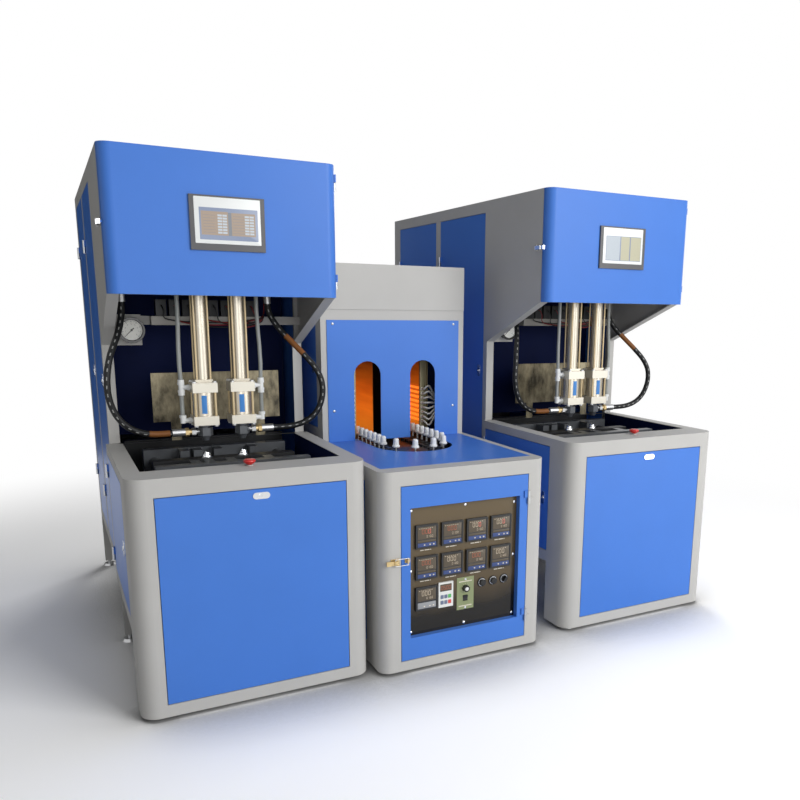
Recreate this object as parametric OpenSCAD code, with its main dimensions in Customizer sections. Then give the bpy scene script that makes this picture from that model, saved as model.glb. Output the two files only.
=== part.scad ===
// Semi-automatic stretch-blow machine for bottles: an infrared preform heater between two blow cabinets.
// Millimetres, +Z up. Every cabinet is drawn in its own frame: X across, Y from its front to its back, Z
// from the floor.

/* [Layout] */
// Width of each blow cabinet
unit_w = 840; // [800:10:900]
// Depth of each blow cabinet
unit_d = 1940; // [1900:10:2100]
// Overall height of each blow cabinet
unit_h = 1950; // [1900:10:2050]
// Width of the heater
heater_w = 740; // [700:10:800]
// Depth of the heater
heater_d = 1900; // [1860:10:2000]
// Height of the heater's hood
heater_h = 1620; // [1560:10:1700]
// Gap on the floor between the left blow cabinet and the heater
left_gap = 30; // [20:5:120]
// Gap on the floor between the heater and the right blow cabinet
right_gap = 160; // [60:5:300]
// How far the heater stands in front of the blow cabinets
heater_lead = 46; // [0:2:100]

/* [Sheet metal] */
// Thickness of the folded sheets
sheet = 2.5; // [2:0.5:3]
// Height of the sheets' lower edges above the floor
floor_gap = 15; // [10:1:25]
// Gap round every door and service panel
door_gap = 2.5; // [2:0.5:4]
// Depth of the folded door trays
tray_d = 18; // [14:1:24]
// Width of the lip that a door closes on
lip = 12; // [8:1:16]
// Clearance between a closed door and its lip
seat = 0.3; // [0.2:0.1:0.6]

/* [Blow cabinet] */
// Height of the table
table_h = 870; // [850:5:890]
// Radius of the front corners
corner_r = 60; // [45:5:75]
// Grey margin at the sides of the front panel
panel_side = 85; // [80:1:110]
// Grey margin above the front panel
panel_top = 65; // [50:1:90]
// Height of the front panel's lower edge
panel_low = 60; // [45:1:90]
// Width of the table's side strips beside the mould bay
bay_side = 62; // [50:1:70]
// Depth of the table's front strip
bay_front = 140; // [125:1:145]
// Depth of the front stiles on the sides
stile_d = 160; // [130:5:200]
// Height of the side doors' lower edge
side_low = 345; // [320:5:380]
// Height of the rails under the side doors
rail_h = 50; // [30:5:70]
// Height of the table rail above the lower side door
table_rail = 38; // [30:1:50]
// Width of the stile behind the lower side door
side_stile = 24; // [22:1:40]
// Distance from the front to the posts
post_y = 770; // [760:5:800]
// Width of the posts and of the folded flanges
post_w = 40; // [30:1:50]
// How much narrower the upper cabinet is on each side
hood_inset = 14; // [10:1:20]
// Distance from the front to the hood door
hood_setback = 248; // [230:2:260]
// Height of the hood door's lower edge above the table, on a cabinet of the usual height
hood_up = 595; // [570:5:620]
// Depth of the hood door
hood_door_d = 46; // [44:1:60]
// Radius of the hood door's upright corners
hood_door_r = 40; // [25:1:42]
// Height above the table where the hood's slanted edge meets the post, on a cabinet of the usual height
slant_up = 400; // [330:5:430]
// Width of each tall side door
tall_door_w = 498; // [440:2:510]
// Width of the stiles between and beside the tall side doors
tall_stile = 36; // [30:1:50]
// Height of the frame above the tall side doors
tall_top = 55; // [40:1:80]
// Width of the touch screen
screen_w = 259; // [220:1:280]
// Height of the touch screen
screen_h = 185; // [150:1:200]
// Height of the touch screen's lower edge above the table, on a cabinet of the usual height
screen_up = 750; // [730:5:810]

/* [Mould press] */
// Distance between the two cavities
cavity_pitch = 144; // [134:2:150]
// Distance from the front to the blow heads
head_y = 500; // [490:5:510]
// How far each mould half stands open
open_gap = 70; // [60:1:75]
// Width of the mould
mould_w = 314; // [290:2:340]
// Thickness of one mould half
mould_t = 100; // [80:5:110]
// Height of the mould
mould_h = 250; // [235:5:270]
// Depth of the mould's top face below the table
mould_drop = 64; // [60:2:74]
// Largest diameter of the bottle
bottle_d = 64; // [50:2:70]
// Height of the bottle below its neck ring
bottle_h = 205; // [180:5:220]
// Thickness of the platens
platen_t = 40; // [30:1:45]
// Width of the press end plates
end_plate_w = 680; // [640:10:700]
// Thickness of the press end plates
end_plate_t = 35; // [30:1:40]
// Diameter of the tie bars
tie_bar_d = 40; // [30:2:46]
// Distance between the tie bars across the press
tie_bar_span = 500; // [480:10:520]
// Depth of the upper tie bars below the table
tie_bar_drop = 70; // [66:2:80]
// Height between the lower and the upper tie bars
tie_bar_rise = 250; // [230:2:260]
// Running clearance of shafts in their bores
run = 0.05; // [0.03:0.01:0.08]

/* [Blow heads] */
// Side of the sealing cylinder's square caps
seal_cap = 94; // [84:2:100]
// Bore of the sealing cylinder
seal_bore = 80; // [70:1:82]
// Height of the sealing cylinders above the table
head_clear = 100; // [95:1:115]
// Thickness of the sealing cylinder's lower cap
seal_foot = 35; // [30:1:40]
// Length of the sealing cylinder's barrel
seal_barrel = 93; // [85:1:110]
// Thickness of the sealing cylinder's upper cap
seal_head = 38; // [30:1:45]
// Outer diameter of the stretch cylinder's tube
stretch_d = 55; // [50:1:58]
// Side of the stretch cylinder's square caps
stretch_cap = 66; // [64:1:72]
// Distance from the stretch cylinders' tubes to the roof
stretch_clear = 72; // [60:2:120]
// Diameter of the stretch rods
rod_d = 12; // [10:1:14]
// Travel of the blow nozzles
nozzle_travel = 40; // [30:1:42]
// Travel of the stretch rods
rod_travel = 280; // [240:5:290]
// Diameter of the high-pressure hoses
hose_d = 24; // [18:1:26]

/* [Heater] */
// Height of the heater's table
bench_h = 828; // [800:2:840]
// Radius of the heater's front corners
heater_r = 46; // [30:1:60]
// Grey margin at the sides of the control door
control_side = 82; // [76:1:100]
// Grey margin above the control door
control_top = 58; // [45:1:80]
// Height of the control door's lower edge
control_low = 55; // [45:1:70]
// Width of the instrument panel
dash_w = 494; // [480:2:520]
// Height of the instrument panel
dash_h = 532; // [520:2:560]
// Height of the instrument panel's lower edge
dash_low = 148; // [130:2:160]
// How deep the instrument panel lies behind the door's face
dash_recess = 26; // [20:1:30]
// Side of the square controllers
meter = 96; // [84:1:98]
// Distance between the controllers' columns
meter_pitch = 113; // [108:1:116]
// Distance between the controllers' rows
meter_row = 128; // [120:1:130]
// Distance from the heater's front to its hood
tunnel_y = 718; // [700:2:740]
// How much narrower the hood is on each side
heater_inset = 15; // [8:1:24]
// Height of the tunnel front
tunnel_top = 1375; // [1340:5:1420]
// Width of each arched opening
arch_w = 130; // [110:2:140]
// Height of the arches' crowns
arch_top = 1191; // [1150:2:1240]
// Distance from the middle to each lane of the conveyor
lane = 142; // [136:1:148]
// Distance from the heater's front to the conveyor's front turn
turn_y = 525; // [515:1:545]
// Distance from the conveyor's rear turn to the heater's back
turn_back = 271; // [240:1:300]
// Distance from the middle to each strand of the chain
chain_r = 86; // [80:1:96]
// Number of preform holders on the chain
holders = 52; // [46:2:54]
// Number of lamps in each bank
lamps_per_bank = 8; // [6:1:9]
// Distance between the lamps
lamp_pitch = 22.5; // [20:0.5:24]

/* [Hidden] */
$fn = 48;

blue = "#4f82da";
grey = "#b5b1aa";
steel = "#8b8e90";
dark = "#2b2d30";
chrome = "#d8dadc";
white = "#eceeee";

// Places on the floor: the whole set is centred on the origin, from its latches and knobs to its backs
hinge_r = 6;
hinge_len = 28;
side_reach = 2 * hinge_r;
front_reach = 17;
back_reach = 12;
set_w = 2 * unit_w + heater_w + left_gap + right_gap;
left_x = -(set_w - side_reach) / 2;
heater_x = left_x + unit_w + left_gap;
right_x = heater_x + heater_w + right_gap;
set_front = -heater_lead - front_reach;
unit_y = -(set_front + unit_d + back_reach) / 2;
heater_y = unit_y - heater_lead;

// Blow cabinet
panel_w = unit_w - 2 * panel_side;
panel_h = table_h - panel_top - panel_low;
side_w = post_y - stile_d - side_stile;
side_h = table_h - table_rail - side_low;
rail_low = side_low - rail_h;
upper_w = unit_w - 2 * hood_inset;
usual_rise = 1080;
rise = (unit_h - table_h) / usual_rise;
hood_low = table_h + hood_up * rise;
slant_low = table_h + slant_up * rise;
screen_low = table_h + screen_up * rise;
latch_up = 235;
hood_latch_z = hood_low + latch_up * rise;
hood_back = hood_setback + hood_door_d + door_gap;
tall_y = post_y + tall_stile;
tall_pitch = tall_door_w + tall_stile + tall_stile / 2;
tall_h = unit_h - tall_top - side_low;
screen_x = (unit_w - screen_w) / 2;
screen_d = 40;
screen_bezel = 8;
rail_up = 480;
rail_z = table_h + rail_up * rise;
rail_deep = 35;
rail_t = 25;
wall_y = post_y + 230;
wall_x = hood_inset + tray_d + seat + sheet;
leg = 40;
foot_h = 30;
foot_r = leg / 2 + back_reach;
button_x = unit_w / 2 + 5;
button_y = 95;
button_r = 22;
button_travel = 4;
gauge_r = 50;
gauge_x = 112;
gauge_drop = 21;
gauge_z = rail_z - gauge_drop * rise;
gauge_plate = 123;
gauge_plate_w = 108;
gauge_d = 40;

// Press
press_x = unit_w / 2;
press_front = bay_front;
press_rear = 900;
plate_top = table_h - 14;
tie_bar_high = table_h - tie_bar_drop;
tie_bar_low = tie_bar_high - tie_bar_rise;
mould_top = table_h - mould_drop;
plate_foot = 60;
plate_low = tie_bar_low - plate_foot;
platen_w = tie_bar_span + 80;
beam = 60;
clamp_z = (tie_bar_high + tie_bar_low) / 2;
clamp_rod_r = 25;
clamp_r = 60;
clamp_wall = 12;
neck_bar_d = 52;
neck_bar_h = 12;
saddle = 54;
saddle_top = tie_bar_high + tie_bar_d / 2 + 4;
seat_r = 22;
seat_low = saddle_top + neck_bar_h;
neck_r = 12.5;

// Blow heads
seal_wall = 3;
seal_low = table_h + head_clear;
seal_mid = seal_low + seal_foot;
seal_up = seal_mid + seal_barrel;
head_top = seal_up + seal_head;
stem_r = 17.5;
nozzle_bore = 9;
nozzle_block = 50;
nozzle_high = seal_low - 13;
nozzle_low = nozzle_high - 32;
tip_low = nozzle_low - 20;
port_z = (nozzle_high + nozzle_low) / 2;
port_len = 100;
stretch_foot = 12;
stretch_wall = 2.5;
stretch_low = head_top + stretch_foot;
stretch_high = unit_h - stretch_clear;
stretch_len = stretch_high - stretch_low;
stretch_head = 26;
beam_up = 35;
head_beam_z = hood_low + beam_up * rise;
flange_w = 92;
flange_t = 8;
head_beam_h = 20;
head_beam_d = 140;
rod_tip = tip_low + 6;
piston_h = 24;
valve_w = 60;
valve_d = 80;
ferrule_r = 15;
ferrule_len = 50;
hose_top = head_beam_z - 10 - ferrule_len;
hose_left_x = 84;
hose_right_x = unit_w - 200;
hose_top_y = head_y + head_beam_d / 2 + valve_d / 2;
hose_end_left = press_x - cavity_pitch / 2 - nozzle_block / 2 - port_len;
hose_end_right = press_x + cavity_pitch / 2 + nozzle_block / 2 + port_len;

// Routes of the high-pressure hoses: offsets from the nozzle's ferrule and shares of the height up to the
// valve
hose_outer_route = [
  [-35, 0, -0.002], [-75, -1, 0.002], [-115, -4, 0.02], [-153, -9, 0.062],
  [-185, -14, 0.128], [-207, -19, 0.218], [-218, -23, 0.323], [-218, -23, 0.423],
  [-212, -16, 0.511], [-199, 4, 0.603], [-179, 34, 0.693], [-160, 66, 0.778],
  [-147, 92, 0.86], [-140.5, 106, 0.934]
];
hose_inner_route = [
  [38, 0, 0], [83, -2, 0.006], [125, -6, 0.028], [161, -11, 0.07],
  [188, -16, 0.134], [204, -21, 0.218], [209, -23, 0.311], [202, -19, 0.403],
  [180, -3, 0.499], [143, 24, 0.599], [102, 55, 0.699], [64, 83, 0.794],
  [39, 101, 0.878], [27, 109, 0.942]
];
function hose_at(start, route) = [
  for (p = route) [start + p.x, head_y + p.y, port_z + p.z * (hose_top - port_z)]
];

// Heater
bench_sheet = 3;
border_front = 75;
border_side = 30;
control_w = heater_w - 2 * control_side;
control_h = bench_h - control_top - control_low;
dash_x = (heater_w - dash_w) / 2;
dash_t = 4;
meter_x = heater_w / 2 - 1.5 * meter_pitch;
meter_z = dash_low + 407;
meter_face = 12;
meter_body = 70;
row_z = meter_z - 2 * meter_row;
keypad_w = 66;
keypad_h = 106;
keypad_x = meter_x + meter_pitch - keypad_w / 2 - 26;
speed_w = 78;
speed_h = 138;
speed_x = keypad_x + keypad_w + 20;
speed_z = row_z - 11;
small_r = 16;
small_z = row_z + 24;
small_pitch = 53;
small_x = speed_x + speed_w + 38;
slot_r = lane + 36;
hood_w = heater_w - 2 * heater_inset;
hood_window = 15;
chain_z = bench_h - 18;
lane_len = heater_d - turn_y - turn_back;
arc_len = PI * chain_r;
chain_pitch = 2 * (lane_len + arc_len) / holders;
arm = lane - chain_r;
lamp_y = tunnel_y + 102;
lamp_back = 340;
lamp_len = heater_d - lamp_back - lamp_y;
lamp_r = 5.5;
lamp_off = 35;
lamp_z = bench_h + 62;
ceramic_r = 8;
ceramic_len = 20;
reflector_off = 76;
reflector_top = arch_top + 49;
latch_z = 474;

// Straight block between two corners
module block(from, to) translate(from) cube(to - from);

// Outline of a cabinet with rounded front corners
module plan(w, d, r) intersection() {
  square([w, d]);
  union() {
    translate([0, r]) square([w, d]);
    translate([r, 0]) square([w - 2 * r, r]);
    for (x = [r, w - r]) translate([x, r]) circle(r);
  }
}

// Upright rounded bar outline, used for locks, slots and links
module stadium(length, width) {
  square([length - width, width], center = true);
  for (s = [-1, 1]) translate([s * (length - width) / 2, 0]) circle(d = width);
}

// Places a flat door frame, X across, Y up and Z outwards, on the front, left side or right side of a cabinet
module on_front(x, y, z) translate([x, y, z]) rotate([90, 0, 0]) children();
module on_left(x, y, z) translate([x, y, z]) mirror([1, 0, 0]) rotate([90, 0, 90]) children();
module on_right(x, y, z) translate([x, y, z]) rotate([90, 0, 90]) children();

// Folded rebate round an opening, with the lip that the door closes on
module rebate(w, h) difference() {
  translate([-sheet, -sheet, -tray_d - seat - sheet])
    cube([w + 2 * sheet, h + 2 * sheet, tray_d + seat + sheet]);
  translate([0, 0, -tray_d - seat]) cube([w, h, tray_d + seat + 1]);
  translate([lip, lip, -tray_d - 2 * sheet]) cube([w - 2 * lip, h - 2 * lip, tray_d]);
}

// Folded door tray that fills an opening less its gap
module tray(w, h) translate([door_gap, door_gap, 0]) difference() {
  translate([0, 0, -tray_d]) cube([w - 2 * door_gap, h - 2 * door_gap, tray_d]);
  translate([sheet, sheet, -tray_d - 1])
    cube([w - 2 * door_gap - 2 * sheet, h - 2 * door_gap - 2 * sheet, tray_d - sheet + 1]);
}

// Lift-off hinge: the frame's half carries the pin, the door's half the bore
module hinge_pair(w, h) for (y = [h * 0.14, h * 0.86]) translate([w - door_gap / 2, y, hinge_r]) children();

module frame_hinge() rotate([-90, 0, 0]) {
  translate([0, 0, -hinge_len]) cylinder(r = hinge_r, h = hinge_len);
  cylinder(r = hinge_r / 2, h = hinge_len - 4);
  translate([0, 0, -hinge_len]) cube([20, hinge_r, hinge_len]);
}

module door_hinge() rotate([-90, 0, 0]) difference() {
  union() {
    translate([0, 0, seat]) cylinder(r = hinge_r, h = hinge_len);
    translate([-20, 0, seat]) cube([20, hinge_r, hinge_len]);
  }
  cylinder(r = hinge_r / 2 + run, h = hinge_len - 2);
}

// Oval cam lock, its face proud of the door and its cam behind the skin
lock_w = 60;
lock_h = 24;
module cam_lock() {
  difference() {
    union() {
      linear_extrude(3) stadium(lock_w, lock_h);
      cylinder(r = 9, h = 6);
    }
    translate([-1, -5, 3]) cube([2, 10, 4]);
  }
  translate([0, 0, -sheet - 12]) cylinder(r = 9, h = 12 + sheet);
}

// Levelling foot with its stem
module foot() {
  cylinder(r1 = foot_r, r2 = foot_r * 0.8, h = 12);
  cylinder(r = 8, h = foot_h);
}

// Closed tube swept along hand-chosen points, each ring square to the route
function unit(v) = v / norm(v);
function tangent(p, i) = unit(p[min(i + 1, len(p) - 1)] - p[max(i - 1, 0)]);
function ring(p, t, r, sides) = let (a = unit(cross([0, 1, 0], t)), b = cross(t, a))
  [for (k = [0 : sides - 1]) p + r * (cos(360 * k / sides) * a + sin(360 * k / sides) * b)];

module tube(p, r, sides, first, last) {
  n = len(p);
  points = [for (i = [0 : n - 1])
    each ring(p[i], i == 0 ? first : i == n - 1 ? last : tangent(p, i), r, sides)];
  sides_faces = [for (i = [0 : n - 2]) for (k = [0 : sides - 1])
    [i * sides + k, i * sides + (k + 1) % sides, (i + 1) * sides + (k + 1) % sides, (i + 1) * sides + k]];
  ends = [[for (k = [sides - 1 : -1 : 0]) k], [for (k = [0 : sides - 1]) (n - 1) * sides + k]];
  polyhedron(points, concat(sides_faces, ends), convexity = 6);
}

// Blow cabinet, front half: folded surround and table with the mould bay
module front_cabinet() color(grey) {
  difference() {
    union() {
      difference() {
        translate([0, 0, floor_gap]) linear_extrude(table_h - floor_gap) plan(unit_w, post_y, corner_r);
        translate([sheet, sheet, floor_gap - 1])
          linear_extrude(table_h - floor_gap - sheet + 1) plan(unit_w - 2 * sheet, post_y, corner_r - sheet);
      }
      on_front(panel_side, 0, panel_low) rebate(panel_w, panel_h);
      on_left(0, stile_d, side_low) rebate(side_w, side_h);
      on_right(unit_w, stile_d, side_low) rebate(side_w, side_h);
      translate([0, 0, foot_h]) linear_extrude(4) intersection() {
        plan(unit_w, post_y, corner_r);
        for (x = [0, unit_w - 120]) translate([x, 0]) square([120, 120]);
      }
      translate([button_x, button_y, table_h]) cylinder(r = 13, h = 4);
    }
    block([panel_side, -1, panel_low], [unit_w - panel_side, tray_d + seat, table_h - panel_top]);
    block([-1, stile_d, side_low], [tray_d + seat, stile_d + side_w, side_low + side_h]);
    block([unit_w - tray_d - seat, stile_d, side_low], [unit_w + 1, stile_d + side_w, side_low + side_h]);
    block([-1, stile_d, 0], [unit_w + 1, post_y + 1, rail_low]);
    block([bay_side, bay_front, table_h - 2 * sheet], [unit_w - bay_side, post_y - 12, table_h + 1]);
    translate([button_x, button_y, table_h - 2 * sheet]) cylinder(r = 8 + run, h = 4 + 4 * sheet);
  }
  on_left(0, stile_d, side_low) hinge_pair(side_w, side_h) frame_hinge();
}

// Side wall of the upper cabinet: hood with its slanted lower edge, post and tall frame
module side_wall_outline() polygon([
  [hood_back, unit_h], [hood_back, hood_low], [post_y, slant_low], [post_y, rail_low], [unit_d, rail_low],
    [unit_d, unit_h]
]);

module side_wall(t) rotate([90, 0, 90]) linear_extrude(t) side_wall_outline();

// Folded flange along the hood's slanted edge and down the post
module edge_flange(t) rotate([90, 0, 90]) linear_extrude(t) polygon([
  [hood_back, hood_low], [post_y, slant_low], [post_y, table_h], [post_y + sheet, table_h],
  [post_y + sheet, slant_low + 1.5 * sheet], [hood_back + 6 * sheet, hood_low],
    [hood_back + 6 * sheet, hood_low + sheet],
  [hood_back, hood_low + sheet]
]);

module tall_doors() for (i = [0, 1]) translate([0, i * tall_pitch, 0]) children();

// Blow cabinet, upper half: posts, hood sides, roof, back and cross rail
module rear_cabinet() color(grey) translate([hood_inset, 0, 0]) {
  difference() {
    union() {
      side_wall(sheet);
      translate([upper_w - sheet, 0, 0]) side_wall(sheet);
      for (i = [0, 1]) {
        on_left(0, tall_y + i * tall_pitch, side_low) rebate(tall_door_w, tall_h);
        on_right(upper_w, tall_y + i * tall_pitch, side_low) rebate(tall_door_w, tall_h);
      }
    }
    for (i = [0, 1]) {
      y = tall_y + i * tall_pitch;
      block([-1, y, side_low], [tray_d + seat, y + tall_door_w, side_low + tall_h]);
      block([upper_w - tray_d - seat, y, side_low], [upper_w + 1, y + tall_door_w, side_low + tall_h]);
    }
  }
  edge_flange(post_w);
  translate([upper_w - post_w, 0, 0]) edge_flange(post_w);
  block([0, hood_back, unit_h - sheet], [upper_w, unit_d, unit_h]);
  block([0, unit_d - sheet, rail_low], [upper_w, unit_d, unit_h]);
  block([0, press_rear + end_plate_t + 5, rail_low], [upper_w, unit_d, rail_low + sheet]);
  for (x = [-hood_inset, upper_w - post_w]) block([x, post_y, rail_low],
    [x + post_w + hood_inset, post_y + sheet, table_h]);
  block([0, hood_back, hood_low], [upper_w, hood_back + 30, hood_low + sheet]);
  block([0, hood_back, unit_h - 30], [upper_w, hood_back + sheet, unit_h]);
  block([0, post_y + 5, rail_z], [upper_w, post_y + 5 + rail_t, rail_z + rail_deep]);
  for (x = [0, upper_w - leg]) {
    for (y = [post_y + sheet, unit_d - leg]) block([x, y, foot_h], [x + leg, y + leg, rail_low + 1]);
  }
  translate([gauge_x - 68, post_y + 2, gauge_z - gauge_plate / 2 + 0.5])
    cube([gauge_plate_w, 3, gauge_plate]);
  tall_doors() on_left(0, tall_y, side_low) hinge_pair(tall_door_w, tall_h) frame_hinge();
  on_right(upper_w, 0, hood_low) translate([hood_back, 0, 0]) mirror([1, 0, 0])
    hood_hinges() mirror([1, 0, 0]) frame_hinge();
  translate([0, hood_back + 40, hood_latch_z]) latch_pivot();
}

// Hood door hinges sit in the gap between the door and the hood's right side
module hood_hinges() for (y = [60, unit_h - hood_low - 60]) translate([door_gap / 2, y, hinge_r]) children();

// Hook latch on the hood's left side: pivot block on the side wall, swinging hook, stud on the door
latch_pin_r = 3;
module latch_pivot() {
  for (s = [-1, 1]) translate([-14, -10, s * 12 - 3]) cube([14, 20, 6]);
  translate([-9, 0, -12]) cylinder(r = latch_pin_r, h = 24);
}

module hood_latch() color(chrome) translate([hood_inset, hood_back + 40, hood_latch_z]) difference() {
  union() {
    translate([-9, 0, -8]) cylinder(r = 5, h = 16);
    translate([-13, -66, -8]) cube([4, 66, 16]);
    translate([-13, -66, -8]) cube([9, 3, 16]);
    translate([-17, -44, -8]) cube([4, 4, 16]);
  }
  translate([-9, 0, -9]) cylinder(r = latch_pin_r + run, h = 18);
}

// Hood door: one tray with rounded upright corners, its screen cut-out, catch stud and hinges
module hood_door() color(blue) translate([hood_inset, hood_setback, 0]) {
  difference() {
    translate([0, 0, hood_low]) linear_extrude(unit_h - hood_low) plan(upper_w, hood_door_d, hood_door_r);
    translate([sheet, sheet, hood_low + sheet]) linear_extrude(unit_h - hood_low - 2 * sheet)
      plan(upper_w - 2 * sheet, hood_door_d, hood_door_r - sheet);
    block([screen_x - hood_inset + 10, -1, screen_low + 10],
      [screen_x - hood_inset + screen_w - 10, 2 * sheet, screen_low + screen_h - 10]);
  }
  translate([-9 + seat, hood_door_d + door_gap - 19 + seat, hood_latch_z]) rotate([0, 90, 0])
    cylinder(r = 4, h = 9 + sheet);
  on_right(upper_w, 0, hood_low) translate([hood_door_d + door_gap, 0, 0]) mirror([1, 0, 0])
    hood_hinges() mirror([1, 0, 0]) door_hinge();
}

module touch_screen() color(dark) difference() {
  union() {
    block([screen_x, hood_setback - screen_bezel, screen_low],
      [screen_x + screen_w, hood_setback, screen_low + screen_h]);
    block([screen_x + 12, hood_setback, screen_low + 12],
      [screen_x + screen_w - 12, hood_setback + screen_d, screen_low + screen_h - 12]);
  }
  block([screen_x + 24, hood_setback - screen_bezel - 1, screen_low + 24],
    [screen_x + screen_w - 24, hood_setback - screen_bezel + 2, screen_low + screen_h - 24]);
}

// Front service panel: hooked below, locked at the top
module front_panel() color(blue) on_front(panel_side, 0, panel_low) {
  tray(panel_w, panel_h);
  translate([panel_w / 2 + 20, panel_h - 26, 0]) cam_lock();
}

module side_door() color(blue) on_left(0, stile_d, side_low) {
  tray(side_w, side_h);
  hinge_pair(side_w, side_h) door_hinge();
  translate([42, side_h / 2, 0]) rotate(90) cam_lock();
}

module tall_door() color(blue) on_left(hood_inset, tall_y, side_low) {
  tray(tall_door_w, tall_h);
  hinge_pair(tall_door_w, tall_h) door_hinge();
  translate([42, tall_h / 2, 0]) rotate(90) cam_lock();
}

// Fixed blue sheets: far-side panels, back wall, bay walls
module unit_panels() {
  on_right(unit_w, stile_d, side_low) tray(side_w, side_h);
  for (i = [0, 1]) on_right(unit_w - hood_inset, tall_y + i * tall_pitch, side_low) tray(tall_door_w, tall_h);
  block([wall_x, wall_y, table_h], [unit_w - wall_x, wall_y + sheet, unit_h - sheet]);
  for (x = [bay_side - sheet, unit_w - bay_side])
    block([x, bay_front, table_h - 180], [x + sheet, post_y - 12, table_h - sheet]);
  block([bay_side, bay_front - sheet, table_h - 100], [unit_w - bay_side, bay_front, table_h - sheet]);
}

module inner_panels() color(blue) both_units() unit_panels();

// Clamp cylinder bored for its rod, along Y
module clamp_cylinder(length) rotate([-90, 0, 0]) difference() {
  cylinder(r = clamp_r, h = length);
  translate([0, 0, -1]) cylinder(r = clamp_rod_r + 8, h = length - clamp_wall + 1);
}

module end_plate(y) difference() {
  block([press_x - end_plate_w / 2, y, plate_low], [press_x + end_plate_w / 2, y + end_plate_t, plate_top]);
  translate([press_x, y - 1, clamp_z]) rotate([-90, 0, 0])
    cylinder(r = clamp_rod_r + run, h = end_plate_t + 2);
}

module tie_bars(y0, y1, grow) for (x = [-1, 1]) for (z = [tie_bar_low, tie_bar_high])
  translate([press_x + x * tie_bar_span / 2, y0, z]) rotate([-90, 0, 0])
    cylinder(d = tie_bar_d + 2 * grow, h = y1 - y0);

// Neck seat: flanged bell that holds the preform's neck over the open mould
module neck_seat() difference() {
  rotate_extrude() polygon([
    [neck_r - 3, 0], [seat_r, 0], [seat_r, 4], [seat_r - 4, 4], [seat_r - 5, 9], [seat_r - 8, 13],
      [neck_r + 1, 16],
    [neck_r, 22], [neck_r - 3, 22]
  ]);
  for (a = [45, 135]) rotate(a) translate([-seat_r - 1, -4, 16]) cube([2 * seat_r + 2, 8, 7]);
}

// Press: end plates on their bed, tie bars, clamp cylinders, neck bar on its saddles, head beam and splash
// plate
module press_frame() {
  end_plate(press_front);
  end_plate(press_rear);
  tie_bars(press_front + end_plate_t, press_rear, 0);
  translate([press_x, press_front - 88, clamp_z]) mirror([0, 1, 0]) translate([0, -88, 0]) clamp_cylinder(88);
  translate([press_x, press_rear + end_plate_t, clamp_z]) clamp_cylinder(180);
  for (x = [-1, 1]) {
    bx = press_x + x * 210;
    block([bx - beam / 2, press_front, plate_low - 50], [bx + beam / 2, press_rear + end_plate_t, plate_low]);
    for (y = [press_front + 20, press_rear - 50])
      block([bx - beam / 2, y, foot_h], [bx + beam / 2, y + beam, plate_low - 50]);
    translate([press_x + x * tie_bar_span / 2 - saddle / 2, head_y - neck_bar_d / 2,
      tie_bar_high - saddle / 2])
      cube([saddle, neck_bar_d, saddle_top - tie_bar_high + saddle / 2]);
  }
  difference() {
    block([press_x - tie_bar_span / 2 - saddle / 2, head_y - neck_bar_d / 2, saddle_top],
      [press_x + tie_bar_span / 2 + saddle / 2, head_y + neck_bar_d / 2, seat_low]);
    heads() translate([0, 0, saddle_top - 1]) cylinder(r = neck_r, h = neck_bar_h + 2);
  }
  heads() translate([0, 0, seat_low]) neck_seat();
  difference() {
    block([hood_inset + sheet, head_y - head_beam_d / 2, head_beam_z],
      [unit_w - hood_inset - sheet, head_y + head_beam_d / 2, head_beam_z + head_beam_h]);
    heads() translate([-stretch_cap / 2, -stretch_cap / 2, head_beam_z - 1])
      cube([stretch_cap, stretch_cap, head_beam_h + 2]);
  }
  splash_plate();
}

// Splash plate behind the heads, on two feet that stand on the table's rear strip
splash_w = 528;
splash_off = 31;
splash_up = 80;
splash_top = 284;
splash_back = 10;
splash_foot = 40;
module splash_plate() {
  x = press_x + splash_off;
  y = post_y - splash_back;
  block([x - splash_w / 2, y, table_h + splash_up * rise],
    [x + splash_w / 2, y + sheet, table_h + splash_top * rise]);
  for (s = [-1, 1]) translate([x + s * splash_w / 3 - splash_foot / 2, y, table_h])
    cube([splash_foot, sheet, splash_up * rise + 1]);
}

module press_frames() color(dark) both_units() press_frame();

// The two blow heads stand side by side over the parting line
module heads() for (s = [-1, 1]) translate([press_x + s * cavity_pitch / 2, head_y, 0]) children();

// Half of the bottle cavity, turned about the neck's axis
module cavity() rotate_extrude() polygon(concat(
  [[0, 1], [neck_r + 1.5, 1], [neck_r + 1.5, -12]],
  [for (i = [1 : 6]) let (u = i / 6)
    [neck_r + 1.5 + (bottle_d / 2 - neck_r - 1.5) * (1 - cos(180 * u)) / 2, -12 - 62 * u]],
  [[bottle_d / 2, 8 - bottle_h], [bottle_d / 2 - 4, 2 - bottle_h], [bottle_d / 2 - 10, -bottle_h],
    [8, 6 - bottle_h],
    [0, 6 - bottle_h]]
));

// Platen with its mould half and clamp rod: s is 1 for the rear half, -1 for the front half
module platen(s, rod_len) color(steel) {
  face = head_y + s * open_gap;
  back = face + s * mould_t;
  difference() {
    union() {
      block([press_x - mould_w / 2, min(face, back), mould_top - mould_h],
        [press_x + mould_w / 2, max(face, back), mould_top]);
      block([press_x - platen_w / 2, min(back, back + s * platen_t), plate_low + 2],
        [press_x + platen_w / 2, max(back, back + s * platen_t), plate_top - 6]);
      for (x = [-mould_w / 2, -mould_w / 2 + 52, -24, mould_w / 2 - 36])
        block([press_x + x, min(face + s * 36, back), mould_top - 1],
          [press_x + x + 36, max(face + s * 36, back), mould_top + 42]);
    }
    for (c = [-1, 1]) translate([press_x + c * cavity_pitch / 2, face, mould_top]) cavity();
    tie_bars(press_front, press_rear, run);
  }
  translate([press_x, min(back + s * platen_t, back + s * (platen_t + rod_len)), clamp_z])
    rotate([-90, 0, 0]) cylinder(r = clamp_rod_r, h = rod_len);
}

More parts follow.
